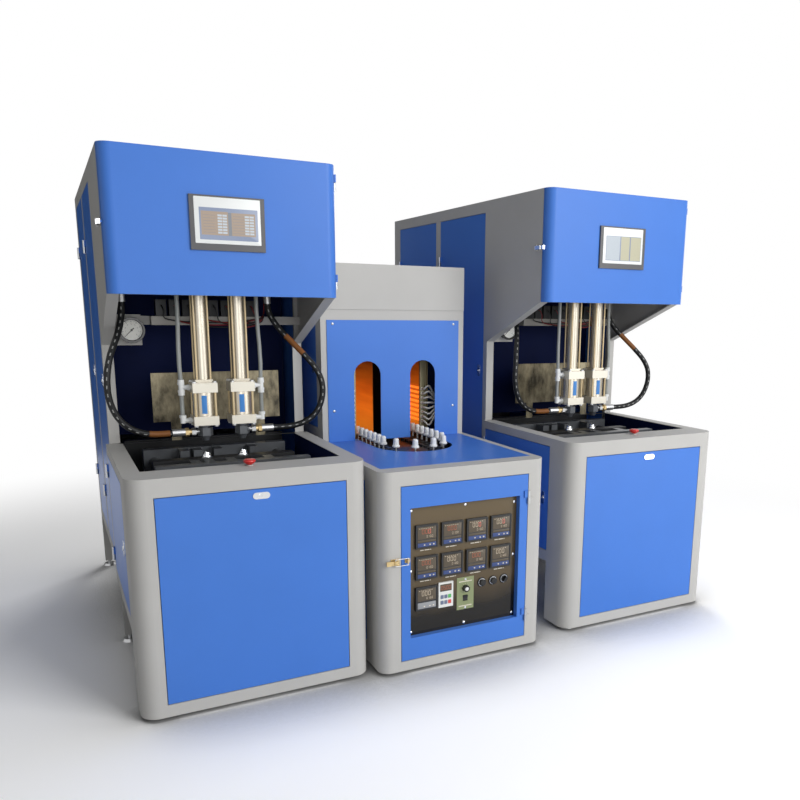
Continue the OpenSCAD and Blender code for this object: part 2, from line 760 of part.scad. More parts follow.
module front_platen() platen(-1, head_y - open_gap - mould_t - platen_t - press_front + 70);
module rear_platen() platen(1, press_rear + end_plate_t + 150 - head_y - open_gap - mould_t - platen_t);

// Sealing cylinder: square caps, barrel and tie rods
module sealing_cylinder() difference() {
  union() {
    translate([-seal_cap / 2, -seal_cap / 2, seal_low]) cube([seal_cap, seal_cap, seal_foot]);
    translate([-seal_cap / 2, -seal_cap / 2, seal_up]) cube([seal_cap, seal_cap, seal_head]);
    translate([0, 0, seal_mid]) cylinder(d = seal_bore + 2 * seal_wall, h = seal_barrel);
    for (a = [45 : 90 : 315]) rotate(a) translate([seal_cap * 0.57, 0, seal_low - 6])
      cylinder(r = 5, h = head_top - seal_low + 12);
  }
  translate([0, 0, seal_mid]) cylinder(d = seal_bore, h = seal_barrel);
  translate([0, 0, seal_low - 1]) cylinder(r = stem_r + run, h = seal_foot + 2);
  translate([0, 0, seal_up - 1]) cylinder(d = rod_d + 2 * run, h = seal_head + 2);
}

module sealing_cylinders() color(white) both_units() heads() sealing_cylinder();

// Stretch cylinder: long tube between square caps, four tie rods, clamped in the head beam
module stretch_cylinder() difference() {
  union() {
    translate([0, 0, stretch_low]) cylinder(d = stretch_d, h = stretch_len);
    for (z = [head_top, stretch_high]) translate([-stretch_cap / 2, -stretch_cap / 2, z])
      cube([stretch_cap, stretch_cap, z == head_top ? stretch_foot : stretch_head]);
    for (z = [head_beam_z - flange_t, head_beam_z + head_beam_h]) translate([-flange_w / 2, -flange_w / 2, z])
      cube([flange_w, flange_w, flange_t]);
    for (a = [45 : 90 : 315]) rotate(a) translate([stretch_cap * 0.55, 0, stretch_low])
      cylinder(r = 4, h = stretch_len);
  }
  translate([0, 0, stretch_low]) cylinder(d = stretch_d - 2 * stretch_wall, h = stretch_len);
  translate([0, 0, head_top - 1]) cylinder(d = rod_d + 2 * run, h = stretch_foot + 2);
}

module stretch_cylinders() color(chrome) both_units() heads() stretch_cylinder();

// Blow nozzle: piston, hollow rod, square block, tip, side port and the hose's crimped end
module blow_nozzle(s) {
  difference() {
    union() {
      translate([0, 0, seal_up - 22]) cylinder(r = seal_bore / 2 - run, h = 20);
      translate([0, 0, nozzle_high]) cylinder(r = stem_r, h = seal_up - 22 - nozzle_high);
      translate([0, 0, nozzle_low]) cylinder(d = nozzle_block / cos(30), h = nozzle_high - nozzle_low,
        $fn = 6);
      translate([0, 0, tip_low]) cylinder(r1 = nozzle_bore + 3, r2 = nozzle_block / 2 - 4,
        h = nozzle_low - tip_low);
    }
    translate([0, 0, tip_low - 1]) cylinder(r = nozzle_bore, h = seal_up - tip_low);
  }
  translate([s * nozzle_block / 2, 0, port_z]) rotate([0, s * 90, 0]) {
    translate([0, 0, -6]) cylinder(r = 10, h = 7);
    cylinder(r = 10, h = 20);
    translate([0, 0, 12]) cylinder(r = 16, h = 16, $fn = 6);
    translate([0, 0, 28]) cylinder(r = 11, h = 10);
    translate([0, 0, 38]) cylinder(r = 17, h = 14, $fn = 6);
    translate([0, 0, 52]) cylinder(r = ferrule_r, h = port_len - 52);
  }
}

module blow_nozzles() color(steel) for (s = [-1, 1]) translate([press_x + s * cavity_pitch / 2, head_y, 0])
  blow_nozzle(s);

// Stretch rod with its piston, running down through the sealing cylinder and the nozzle
module stretch_rod() {
  translate([0, 0, rod_tip]) cylinder(d = rod_d, h = stretch_high - 30 - rod_tip);
  translate([0, 0, stretch_high - 30 - piston_h])
    cylinder(d = stretch_d - 2 * stretch_wall - 2 * run, h = piston_h);
}

module stretch_rods() color(chrome) heads() stretch_rod();

// High-pressure hoses between the nozzles and the valves in the hood
module hose_outer() color("#1c1d1f") tube(
  concat([[hose_end_left, head_y, port_z]], hose_at(hose_end_left, hose_outer_route),
    [[hose_left_x, hose_top_y, hose_top]]),
  hose_d / 2, 12, [-1, 0, 0], [0, 0, 1]);

module hose_inner() color("#1c1d1f") tube(
  concat([[hose_end_right, head_y, port_z]], hose_at(hose_end_right, hose_inner_route),
    [[hose_right_x, hose_top_y, hose_top]]),
  hose_d / 2, 12, [1, 0, 0], [0, 0, 1]);

// Push-in fittings on the outer sides of the sealing cylinders
fit_arm = 25;
fit_r = 10;
tee_z = seal_up + seal_head / 2;
elbow_z = seal_low + seal_foot / 2;
module fittings() for (s = [-1, 1]) translate([press_x + s * (cavity_pitch / 2 + seal_cap / 2), head_y, 0]) {
  for (z = [tee_z, elbow_z]) translate([0, 0, z]) rotate([0, s * 90, 0])
    cylinder(r = fit_r - 1, h = fit_arm + fit_r);
  translate([s * (fit_arm + fit_r), 0, tee_z - 22]) cylinder(r = fit_r, h = 44);
  for (z = [tee_z - 30, tee_z + 18]) translate([s * (fit_arm + fit_r), 0, z]) cylinder(r = fit_r + 2, h = 12);
  translate([s * (fit_arm + fit_r), 0, elbow_z - fit_r]) cylinder(r = fit_r, h = 2 * fit_r + 10);
  translate([s * (fit_arm + fit_r), 0, elbow_z + fit_r]) cylinder(r = fit_r + 2, h = 12);
}

module air_fittings() color(white) both_units() fittings();

// Air tubes: one up into the hood from each tee, one between the tee and the elbow below it
air_r = 8;
air_rise = head_beam_z - tee_z - 30;
module unit_tubes() for (s = [-1, 1])
  translate([press_x + s * (cavity_pitch / 2 + seal_cap / 2 + fit_arm + fit_r), head_y, 0]) {
    tube([
      [0, 0, tee_z + 30], [s * 2, 0, tee_z + 30 + 0.15 * air_rise], [s * 1, 3, tee_z + 30 + 0.35 * air_rise],
      [s * -2, 6, tee_z + 30 + 0.55 * air_rise], [s * -4, 8, tee_z + 30 + 0.75 * air_rise],
        [s * -4, 8, head_beam_z]
    ], air_r, 10, [0, 0, 1], [0, 0, 1]);
    tube([[0, 0, elbow_z + fit_r + 12], [0, 2, (tee_z + elbow_z) / 2], [0, 0, tee_z - 30]], air_r, 10,
      [0, 0, 1], [0, 0, 1]);
  }

module air_tubes() color("#9aa0a4") both_units() unit_tubes();

// Air supply: high-pressure valves on the head beam, valve manifold on the cross rail, air tank, gauge case
module gauge_case() translate([gauge_x + hood_inset, post_y + 2, gauge_z]) rotate([90, 0, 0]) {
  difference() {
    union() {
      cylinder(r = gauge_r - 4, h = gauge_d - 10);
      translate([0, 0, gauge_d - 12]) cylinder(r = gauge_r, h = 12);
    }
    translate([0, 0, gauge_d - 9]) cylinder(r = gauge_r - 6, h = 10);
  }
  translate([0, 0, gauge_d - 10]) cylinder(r = 1.5, h = 7);
}

tank_r = 140;
tank_skirt = 110;
tank_h = 780;
tank_wall = 6;
function tank_half(r, f, z0, z1) = [
  [0, z0], [f, z0], [f, z0 + 0.08 * tank_h], [r, z0 + 0.12 * tank_h], [r, z1 - 0.1 * tank_h],
  [0.91 * r, z1 - 0.05 * tank_h], [0.64 * r, z1 - 0.015 * tank_h], [0.2 * r, z1], [0, z1]
];
module air_tank() rotate_extrude() difference() {
  polygon(tank_half(tank_r, tank_skirt, 0, tank_h));
  polygon(tank_half(tank_r - tank_wall, tank_skirt - tank_wall, tank_wall, tank_h - tank_wall));
}

manifold_w = 440;
coil = [40, 44, 66];
coil_pitch = 51;
module unit_air() {
  for (x = [hose_left_x, hose_right_x]) {
    translate([x - valve_w / 2, head_y + head_beam_d / 2, head_beam_z - 10]) cube([valve_w, valve_d, 70]);
    translate([x, hose_top_y, hose_top]) cylinder(r = ferrule_r, h = ferrule_len);
  }
  block([press_x - manifold_w / 2, post_y - 50, rail_z],
    [press_x + manifold_w / 2, post_y + 5, rail_z + rail_deep]);
  for (i = [0 : 7]) translate([press_x - manifold_w / 2 + 20 + coil_pitch * i, post_y - 45,
    rail_z + rail_deep])
    cube(coil);
  translate([press_x, unit_d - 480, rail_low + sheet]) air_tank();
  gauge_case();
}

module air_supply() color(dark) both_units() unit_air();

module gauge_needle() color("#202020") translate([gauge_x + hood_inset, post_y + 2, gauge_z])
  rotate([90, 0, 0])
  translate([0, 0, gauge_d - 7]) difference() {
    union() {
      cylinder(r = 4, h = 2);
      rotate(225) linear_extrude(1) polygon([[-12, -2], [-12, 2], [gauge_r - 12, 0.6], [gauge_r - 12, -0.6]]);
    }
    translate([0, 0, -1]) cylinder(r = 1.5 + run, h = 4);
  }

// Red mushroom button on the table's front strip
module stop_button() color("#d8322f") translate([button_x, button_y, table_h + 4 + button_travel]) {
  rotate_extrude() polygon([
    [0, 0], [button_r - 7, 0], [button_r - 1, 7], [button_r, 9], [button_r - 1, 13], [button_r - 6, 16],
      [0, 17]
  ]);
  translate([0, 0, -4 - button_travel - 2 * sheet]) cylinder(r = 8, h = 6 + button_travel + 2 * sheet);
}

// Heater cabinet: bench with rounded front corners, hood frame, legs
hood_lift = 0.5;
module heater_cabinet() color(grey) {
  difference() {
    union() {
      difference() {
        translate([0, 0, floor_gap]) linear_extrude(bench_h - floor_gap) plan(heater_w, heater_d, heater_r);
        translate([sheet, sheet, floor_gap - 1]) linear_extrude(bench_h - floor_gap - 2 * bench_sheet + 1)
          plan(heater_w - 2 * sheet, heater_d - 2 * sheet, heater_r - sheet);
      }
      on_front(control_side, 0, control_low) rebate(control_w, control_h);
      translate([0, 0, foot_h]) linear_extrude(4) intersection() {
        plan(heater_w, heater_d, heater_r);
        for (x = [0, heater_w - 120]) for (y = [0, heater_d - 120]) translate([x, y]) square([120, 120]);
      }
    }
    block([control_side, -1, control_low], [heater_w - control_side, tray_d + seat, control_low + control_h]);
    block([-1, stile_d, 100], [heater_w + 1, heater_d - 60, bench_h - 58]);
    block([border_side, border_front, bench_h - bench_sheet],
      [heater_w - border_side, heater_d - 30, bench_h + 1]);
    block([heater_w / 2 - slot_r - 10, turn_y - slot_r - 10, bench_h - 3 * bench_sheet],
      [heater_w / 2 + slot_r + 10, turn_y + lane_len + slot_r + 10, bench_h + 1]);
  }
  translate([heater_inset, tunnel_y, bench_h]) difference() {
    translate([0, 0, hood_lift]) cube([hood_w, heater_d - tunnel_y - 15, heater_h - bench_h - hood_lift]);
    translate([sheet, sheet, -1]) cube([hood_w - 2 * sheet, heater_d - tunnel_y - 15 - 2 * sheet,
      heater_h - bench_h - sheet + 1]);
    block([hood_window + 20, -1, -1], [hood_w - hood_window - 20, 2 * sheet,
      tunnel_top - bench_h - hood_window]);
    block([-1, 72, 60], [2 * sheet, heater_d - tunnel_y - 75, heater_h - bench_h - 60]);
    block([hood_w - 2 * sheet, 72, 60], [hood_w + 1, heater_d - tunnel_y - 75, heater_h - bench_h - 60]);
  }
  block([heater_inset, tunnel_y - 3, tunnel_top + 46], [heater_w - heater_inset, tunnel_y, heater_h]);
  on_front(control_side, 0, control_low) hinge_pair(control_w, control_h) frame_hinge();
  on_left(heater_inset, tunnel_y + 72, bench_h + 60) rebate(heater_door_w, heater_door_h);
  on_right(heater_w - heater_inset, tunnel_y + 72, bench_h + 60) rebate(heater_door_w, heater_door_h);
  translate([control_side - 24, 0, latch_z]) latch_base();
}

heater_door_w = heater_d - tunnel_y - 75 - 72;
heater_door_h = heater_h - bench_h - 120;

// Toggle latch of the control door: base with two ears and a pin, lever, wire bail
module latch_base() {
  block([-18, -2, -13], [18, 0, 13]);
  for (s = [-1, 1]) block([2, -12, s * 10 - 1.5], [14, -1, s * 10 + 1.5]);
  translate([8, -8, -11]) cylinder(r = 2, h = 22);
}

module door_latch() color("#c9a35a") translate([control_side - 24, 0, latch_z]) difference() {
  union() {
    translate([8, -8, -7]) cylinder(r = 4, h = 14);
    block([-40, -12, -7], [8, -9, 7]);
    block([-40, -14, -9], [-22, -9, 9]);
    translate([-4, -13, -8]) cylinder(r = 4, h = 16);
  }
  translate([8, -8, -12]) cylinder(r = 2 + run, h = 24);
  translate([-4, -13, -12]) cylinder(r = 1.5 + run, h = 24);
}

module door_latch_bail() color(chrome) translate([control_side - 24, -13, latch_z]) {
  translate([-4, 0, -13.5]) cylinder(r = 1.5, h = 27);
  for (s = [-1, 1]) translate([-4, 0, s * 13.5]) rotate([0, 90, 0]) cylinder(r = 1.5, h = 56);
  translate([52, 0, -15]) cylinder(r = 1.5, h = 30);
}

// Control door with its deep instrument cut-out, catch and hinges
module control_door() color(blue) {
  on_front(control_side, 0, control_low) {
    difference() {
      tray(control_w, control_h);
      translate([dash_x - control_side, dash_low - control_low, -tray_d - 1])
        cube([dash_w, dash_h, tray_d + 2]);
    }
    difference() {
      translate([dash_x - control_side - sheet, dash_low - control_low - sheet, -dash_recess])
        cube([dash_w + 2 * sheet, dash_h + 2 * sheet, dash_recess - sheet + 1]);
      translate([dash_x - control_side, dash_low - control_low, -dash_recess - 1])
        cube([dash_w, dash_h, dash_recess + 2]);
    }
    hinge_pair(control_w, control_h) door_hinge();
    translate([22, latch_z - control_low - 8, 0]) cube([4, 16, 16]);
    translate([16, latch_z - control_low - 8, 0]) cube([22, 16, 2]);
  }
}

// Instrument panel behind the door's cut-out, with openings for the instruments
module meters() for (c = [0 : 3]) for (r = [0 : 2]) if (r < 2 || c == 0)
  translate([meter_x + c * meter_pitch, 0, meter_z - r * meter_row]) children();

module instrument_panel() color(dark) difference() {
  block([dash_x - sheet, dash_recess, dash_low - sheet],
    [dash_x + dash_w + sheet, dash_recess + dash_t, dash_low + dash_h + sheet]);
  meters() translate([-meter / 2 + 3, dash_recess - 1, -meter / 2 + 3])
    cube([meter - 6, dash_t + 2, meter - 6]);
  translate([speed_x + speed_w / 2, dash_recess - 1, speed_z + 22]) rotate([-90, 0, 0])
    cylinder(r = 5, h = dash_t + 2);
  translate([speed_x + speed_w / 2 - 11, dash_recess - 1, speed_z - 34]) cube([22, dash_t + 2, 26]);
  for (i = [0 : 2]) translate([small_x + i * small_pitch, dash_recess - 1, small_z]) rotate([-90, 0, 0])
    cylinder(r = 9 + run, h = dash_t + 2);
}

// Square controllers: raised bezel with a sunk face, body behind the panel
module controller() difference() {
  union() {
    block([-meter / 2, dash_recess - meter_face, -meter / 2], [meter / 2, dash_recess, meter / 2]);
    block([-meter / 2 + 3, dash_recess, -meter / 2 + 3],
      [meter / 2 - 3, dash_recess + meter_body, meter / 2 - 3]);
  }
  block([-meter / 2 + 6, dash_recess - meter_face - 1, -meter / 2 + 6],
    [meter / 2 - 6, dash_recess - meter_face + 2, meter / 2 - 6]);
}

module controllers() color("#1d1f22") meters() controller();

// Drive keypad and speed plate, both fixed on the instrument panel
module drive_controls() color(white) {
  block([keypad_x, dash_recess - 8, row_z - keypad_h / 2],
    [keypad_x + keypad_w, dash_recess, row_z + keypad_h / 2]);
  difference() {
    block([speed_x, dash_recess - 2, speed_z - speed_h / 2],
      [speed_x + speed_w, dash_recess, speed_z + speed_h / 2]);
    translate([speed_x + speed_w / 2, dash_recess - 3, speed_z + 22]) rotate([-90, 0, 0])
      cylinder(r = 3 + run, h = 4);
    block([speed_x + speed_w / 2 - 11, dash_recess - 3, speed_z - 34],
      [speed_x + speed_w / 2 + 11, dash_recess + 1, speed_z - 8]);
  }
}

module speed_knob() color("#1d1f22") translate([speed_x + speed_w / 2, dash_recess - 2 - seat,
  speed_z + 22]) rotate([90, 0, 0]) {
  difference() {
    cylinder(r = 14, h = 14);
    translate([0, 0, 3]) for (a = [0 : 30 : 330]) rotate(a) translate([15, 0, 0]) cylinder(r = 2, h = 12);
    translate([-1, 6, 12]) cube([2, 8, 3]);
  }
  translate([0, 0, -10]) cylinder(r = 3, h = 11);
}

// Rocker switch in the speed plate
module speed_switch() color("#1d1f22") translate([speed_x + speed_w / 2, dash_recess - 2, speed_z - 21])
  rotate([0, 90, 0])
  linear_extrude(22 - 2 * seat, center = true)
    polygon([[-11, 6], [-11, -4], [0, -1], [11, -1], [11, 6], [0, 10]]);

// Push buttons and selector: chrome collar ring on the panel is part of the piece's stem seat
module push_button() rotate([90, 0, 0]) {
  rotate_extrude() polygon([[0, 0], [small_r - 3, 0], [small_r - 2, 1], [small_r - 2, 10],
    [small_r - 4, 12], [0, 13]]);
  translate([0, 0, -18]) cylinder(r = 9, h = 19);
}

module black_button(i) color("#1d1f22") translate([small_x + i * small_pitch, dash_recess - 4, small_z])
  push_button();

module selector_switch() color("#1d1f22") translate([small_x + 2 * small_pitch, dash_recess - seat,
  small_z]) rotate([90, 0, 0]) {
  cylinder(r = small_r - 2, h = 8);
  rotate(-35) translate([-4, -small_r + 4, 7]) cube([8, 2 * small_r - 8, 11]);
  translate([0, 0, -18]) cylinder(r = 9, h = 18);
}

// Fixed blue sheets of the heater: bench top with the conveyor slot, tunnel front with its arches, side
// panels
module slot_outline(r) {
  translate([-r, 0]) square([2 * r, lane_len]);
  for (y = [0, lane_len]) translate([0, y]) circle(r);
}

module arch_outline(x) {
  translate([x - arch_w / 2, bench_h - 1]) square([arch_w, arch_top - arch_w / 2 - bench_h + 1]);
  translate([x, arch_top - arch_w / 2]) circle(d = arch_w);
}

module heater_panels() color(blue) {
  difference() {
    block([border_side + 0.5, border_front + 0.5, bench_h - bench_sheet],
      [heater_w - border_side - 0.5, heater_d - 30.5, bench_h]);
    translate([heater_w / 2, turn_y, bench_h - 2 * bench_sheet]) linear_extrude(3 * bench_sheet)
      slot_outline(slot_r);
  }
  translate([0, tunnel_y, 0]) rotate([90, 0, 0]) linear_extrude(bench_sheet) difference() {
    translate([heater_inset + 27, bench_h + 0.5])
      square([heater_w - 2 * heater_inset - 54, tunnel_top - bench_h - 0.5]);
    for (s = [-1, 1]) arch_outline(heater_w / 2 + s * (lane - 3));
  }
}

module heater_side_panels() color(blue) {
  for (x = [sheet, heater_w - 2 * sheet])
    block([x, stile_d - 10, 90], [x + sheet, heater_d - 50, bench_h - 48]);
  on_right(heater_w - heater_inset, tunnel_y + 72, bench_h + 60) tray(heater_door_w, heater_door_h);
  on_left(heater_inset, tunnel_y + 72, bench_h + 60) {
    tray(heater_door_w, heater_door_h);
    translate([42, heater_door_h / 2 - 60, 0]) rotate(90) cam_lock();
  }
}

// Place and heading along the conveyor's loop, measured from the start of the left lane
function loop_at(s) =
  s < lane_len ? [[-chain_r, s], 90] :
  s < lane_len + arc_len ? let (a = 180 - (s - lane_len) / arc_len * 180)
    [[chain_r * cos(a), lane_len + chain_r * sin(a)], a - 90] :
  s < 2 * lane_len + arc_len ? [[chain_r, 2 * lane_len + arc_len - s], -90] :
  let (a = -(s - 2 * lane_len - arc_len) / arc_len * 180) [[chain_r * cos(a), chain_r * sin(a)], a - 90];

module along_loop(phase) translate([heater_w / 2, turn_y, 0]) for ($link = [0 : holders - 1])
  let (p = loop_at(($link + phase) * chain_pitch)) translate([p[0].x, p[0].y, 0]) rotate(p[1]) children();

// Conveyor: bed plate under the slot, two turning wheels, chain of plates and rollers, an arm for each holder
arm_w = 12;
arm_t = 3;
rail_half = 6;
hanger = 60;
module conveyor() color(dark) {
  translate([heater_w / 2, turn_y, chain_z - 20]) linear_extrude(4) slot_outline(slot_r + 14);
  for (y = [0, lane_len]) translate([heater_w / 2, turn_y + y, chain_z - 16])
    cylinder(r = chain_r - 14, h = 10);
  along_loop(0.5) translate([0, 0, chain_z - 8 + 4 * ($link % 2)]) linear_extrude(3)
    stadium(chain_pitch + 15, 15);
  along_loop(0) {
    translate([0, 0, chain_z - 16]) cylinder(r = 9, h = 16);
    translate([-arm_w / 2, 0, chain_z - arm_t]) cube([arm_w, arm, arm_t]);
    translate([0, arm, chain_z - arm_t]) cylinder(r = 9, h = arm_t);
  }
  for (s = [-1, 1]) translate([heater_w / 2 + s * (slot_r + 8), turn_y, chain_z - 16]) {
    block([-rail_half, 0, 0], [rail_half, lane_len, 16]);
    block([-rail_half, lane_len - hanger, 0], [rail_half, lane_len, bench_h - 2 * bench_sheet - chain_z + 16]);
  }
}

// Preform holder: pin, wide flange and tapered cap
holder_r = 17;
holder_low = 28;
holder_top = 66;
module holder() rotate_extrude($fn = 24) polygon([
  [0, 0], [holder_r / 3, 0], [holder_r / 3, holder_low - 16], [holder_r / 4, holder_low - 16],
    [holder_r / 4, holder_low],
  [holder_r - 1, holder_low], [holder_r, holder_low + 2], [holder_r, holder_low + 6],
    [holder_r - 4, holder_low + 11],
  [holder_r - 5, holder_top - 6], [holder_r - 7, holder_top - 2], [holder_r / 2, holder_top], [0, holder_top]
]);

module preform_holders() color(white) along_loop(0) translate([0, arm, chain_z]) holder();

// Quartz lamps in ceramic ends, in one bank outside each lane
module lamp_rows() for (s = [-1, 1]) for (i = [0 : lamps_per_bank - 1])
  translate([heater_w / 2 + s * (lane + lamp_off), lamp_y, lamp_z + i * lamp_pitch]) rotate([-90, 0, 0])
    children();

module lamps() color("#ff9a3c") lamp_rows() {
  cylinder(r = lamp_r, h = lamp_len);
  for (z = [-ceramic_len, lamp_len]) translate([0, 0, z]) cylinder(r = ceramic_r, h = ceramic_len);
}

// Reflectors: outer trays that carry the lamp ends, inner plates between the lanes
tray_w = 34;
tray_back = 22;
tray_end = 12;
plate_half = 1.5;
module reflectors() color("#c8823c") {
  for (s = [-1, 1]) {
    x = heater_w / 2 + s * (lane + lamp_off + tray_back);
    block([x - plate_half, lamp_y - 30, bench_h], [x + plate_half, lamp_y + lamp_len + 30, reflector_top]);
    for (y = [lamp_y - tray_end - 6, lamp_y + lamp_len + 6]) difference() {
      block([min(x, x - s * tray_w), y, bench_h], [max(x, x - s * tray_w), y + tray_end, reflector_top]);
      lamp_rows() translate([0, 0, -2 * ceramic_len])
        cylinder(r = ceramic_r + run, h = lamp_len + 4 * ceramic_len);
    }
    ix = heater_w / 2 + s * (lane - reflector_off);
    block([ix - plate_half, lamp_y + 20, chain_z - 16],
      [ix + plate_half, lamp_y + lamp_len - 73, reflector_top]);
  }
}

// Levelling feet of the three cabinets
module levelling_feet() color("#c9ccc8") {
  both_units() {
    for (x = [60, unit_w - 60]) translate([x, 60, 0]) foot();
    for (x = [hood_inset + leg / 2, unit_w - hood_inset - leg / 2])
      for (y = [post_y + sheet + leg / 2, unit_d - leg / 2]) translate([x, y, 0]) foot();
    for (x = [-1, 1]) for (y = [press_front + 20 + beam / 2, press_rear - 50 + beam / 2])
      translate([press_x + x * 210, y, 0]) foot();
  }
  at_heater() for (x = [60, heater_w - 60]) for (y = [60, heater_d - 60]) translate([x, y, 0]) foot();
}

// Places of the three cabinets
module at_left() translate([left_x, unit_y, 0]) children();
module at_right() translate([right_x, unit_y, 0]) children();
module at_heater() translate([heater_x, heater_y, 0]) children();
module both_units() {
  at_left() children();
  at_right() children();
}

at_left() front_cabinet();  // left_front_cabinet
at_left() rear_cabinet();  // left_rear_cabinet
at_left() hood_door();  // left_hood_door
at_left() touch_screen();  // left_touch_screen
at_left() hood_latch();  // left_hood_latch
at_left() front_panel();  // left_front_panel
at_left() side_door();  // left_side_door
at_left() tall_door();  // left_tall_door_front
at_left() translate([0, tall_pitch, 0]) tall_door();  // left_tall_door_back
at_left() front_platen();  // left_front_platen
at_left() rear_platen();  // left_rear_platen
at_left() blow_nozzles();  // left_blow_nozzles
at_left() stretch_rods();  // left_stretch_rods
at_left() gauge_needle();  // left_gauge_needle
at_left() stop_button();  // left_stop_button
at_left() hose_outer();  // left_hose_outer
at_left() hose_inner();  // left_hose_inner
at_right() front_cabinet();  // right_front_cabinet
at_right() rear_cabinet();  // right_rear_cabinet
at_right() hood_door();  // right_hood_door
at_right() touch_screen();  // right_touch_screen
at_right() hood_latch();  // right_hood_latch
at_right() front_panel();  // right_front_panel
at_right() side_door();  // right_side_door
at_right() tall_door();  // right_tall_door_front
at_right() translate([0, tall_pitch, 0]) tall_door();  // right_tall_door_back
at_right() front_platen();  // right_front_platen
at_right() rear_platen();  // right_rear_platen
at_right() blow_nozzles();  // right_blow_nozzles
at_right() stretch_rods();  // right_stretch_rods
at_right() gauge_needle();  // right_gauge_needle
at_right() stop_button();  // right_stop_button
at_right() hose_outer();  // right_hose_outer
at_right() hose_inner();  // right_hose_inner
inner_panels();
press_frames();
sealing_cylinders();
stretch_cylinders();
air_fittings();
air_tubes();
air_supply();
levelling_feet();
at_heater() heater_cabinet();
at_heater() heater_panels();
at_heater() heater_side_panels();
at_heater() control_door();
at_heater() instrument_panel();
at_heater() controllers();
at_heater() drive_controls();
at_heater() door_latch();
at_heater() door_latch_bail();
at_heater() speed_knob();
at_heater() speed_switch();
at_heater() black_button(0);  // black_button_left
at_heater() black_button(1);  // black_button_right
at_heater() selector_switch();
at_heater() conveyor();
at_heater() preform_holders();
at_heater() lamps();
at_heater() reflectors();
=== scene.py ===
"""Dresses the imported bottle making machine: finishes, instruments, hoses and the studio."""

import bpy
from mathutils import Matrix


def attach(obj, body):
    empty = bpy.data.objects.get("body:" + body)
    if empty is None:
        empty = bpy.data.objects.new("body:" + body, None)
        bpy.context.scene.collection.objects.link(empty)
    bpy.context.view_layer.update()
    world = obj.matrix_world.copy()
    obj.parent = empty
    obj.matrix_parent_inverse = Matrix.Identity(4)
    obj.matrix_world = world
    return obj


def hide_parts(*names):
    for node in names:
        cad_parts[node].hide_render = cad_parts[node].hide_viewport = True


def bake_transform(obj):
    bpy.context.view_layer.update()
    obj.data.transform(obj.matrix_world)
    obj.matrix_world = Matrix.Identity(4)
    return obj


bl_info = {
    "name": "Bottle Machine Dresser",
    "version": (1, 0, 0),
    "blender": (4, 5, 0),
    "location": "3D View > Sidebar > Bottle Machine",
    "description": "Gives the stretch-blow machine its finishes, instruments, hoses and studio",
    "category": "Object",
}

import bpy
import numpy as np
from mathutils import Matrix

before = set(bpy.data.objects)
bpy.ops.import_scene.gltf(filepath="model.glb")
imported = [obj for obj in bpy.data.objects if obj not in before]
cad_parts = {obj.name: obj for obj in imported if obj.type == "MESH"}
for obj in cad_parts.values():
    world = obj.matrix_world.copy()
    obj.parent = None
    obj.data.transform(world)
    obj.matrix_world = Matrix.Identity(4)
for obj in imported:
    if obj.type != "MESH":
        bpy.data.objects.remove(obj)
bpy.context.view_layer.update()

# Front left floor corner of each cabinet in the shared frame, in millimetres
LEFT = np.array([-1299.0, -944.5, 0.0])
RIGHT = np.array([471.0, -944.5, 0.0])
HEATER = np.array([-429.0, -990.5, 0.0])
UNITS = {"left": LEFT, "right": RIGHT}

# Directions of a flat detail: across, up and outwards
FRONT = np.array([[1, 0, 0], [0, 0, 1], [0, -1, 0]], float)
TOP = np.array([[1, 0, 0], [0, 1, 0], [0, 0, 1]], float)
UNDER = np.array([[1, 0, 0], [0, -1, 0], [0, 0, -1]], float)

# Heater's instrument panel, in the heater's own millimetres
DASH_Y = 26.0
METER_X = 200.5 + 113.0 * np.arange(4)
METER_Z = 555.0 - 128.0 * np.arange(3)
METER_FACE = DASH_Y - 10.0
KEYPAD = (287.5, 299.0)
SPEED = (379.5, 288.0)
SMALL_X = 456.5 + 53.0 * np.arange(3)
SMALL_Z = 323.0

# Screws across and up in the heater's own millimetres, and the depth of the tunnel front that carries the second ones
FASCIA_SCREWS = ((137, 663), (375, 664), (606, 650), (607, 423), (606, 162), (375, 160), (135, 161), (136, 416))
TUNNEL_SCREWS = ((70, 1358), (70, 970), (670, 1358), (670, 970))
TUNNEL_Y = 715.0

# Colours of each controller's three main figures
PLAIN = ("meter_white",) * 3
WARM = ("meter_amber",) * 3
READINGS = (("meter_amber", "meter_amber", "meter_red"), WARM, ("meter_white", "meter_white", "meter_red"),
            ("meter_white", "meter_white", "meter_red"), WARM, PLAIN, WARM, PLAIN, PLAIN)

# Middle of the touch screen and of the gauge's dial in a blow cabinet's own millimetres
SCREEN_AT = (420.0, 240.0, 1721.0)
DIAL_AT = (126.0, 741.0, 1329.0)

# Blow heads in a blow cabinet's own millimetres, and half the spacing of their cylinders' tie rods
HEAD_X = (348.0, 492.0)
HEAD_Y = 500.0
SEAL_ROD = 37.9
STRETCH_ROD = 25.7
CORNERS = np.array([[-1, -1], [-1, 1], [1, -1], [1, 1]])

# Sealing cylinders: upper and lower faces of their end caps, and the label's radius and heights
SEAL_CAPS = (1136.0, 970.0)
LABEL_RADIUS = 43.15
LABEL_Z = (1016.0, 1087.0)

# Camera: place in millimetres, yaw, pitch and roll in radians, and shift in shares of the picture
CAMERA_AT = LEFT + [-190.8, -2670.6, 1433.3]
CAMERA_TURN = (0.497, 0.207, 0.014)
CAMERA_SHIFT = (-0.08275, 0.08875)

# Soft lamps: place and size in metres, turn in degrees and power in watts
LAMPS = {
    "key": ((3.0, -6.4, 3.6), 4.0, (68, 0, 25), 345.0),
    "fill": ((-1.6, -6.6, 1.1), 3.0, (88, 0, -10), 60.0),
    "overhead": ((0.0, -0.6, 5.2), 4.0, (0, 0, 0), 40.0),
    "kick": ((2.3, -3.3, 0.3), 1.6, (95, 0, 33), 16.0),
    "back": ((2.6, 6.0, 4.0), 3.0, (-62, 0, -24), 200.0),
}


# Colour and nodes

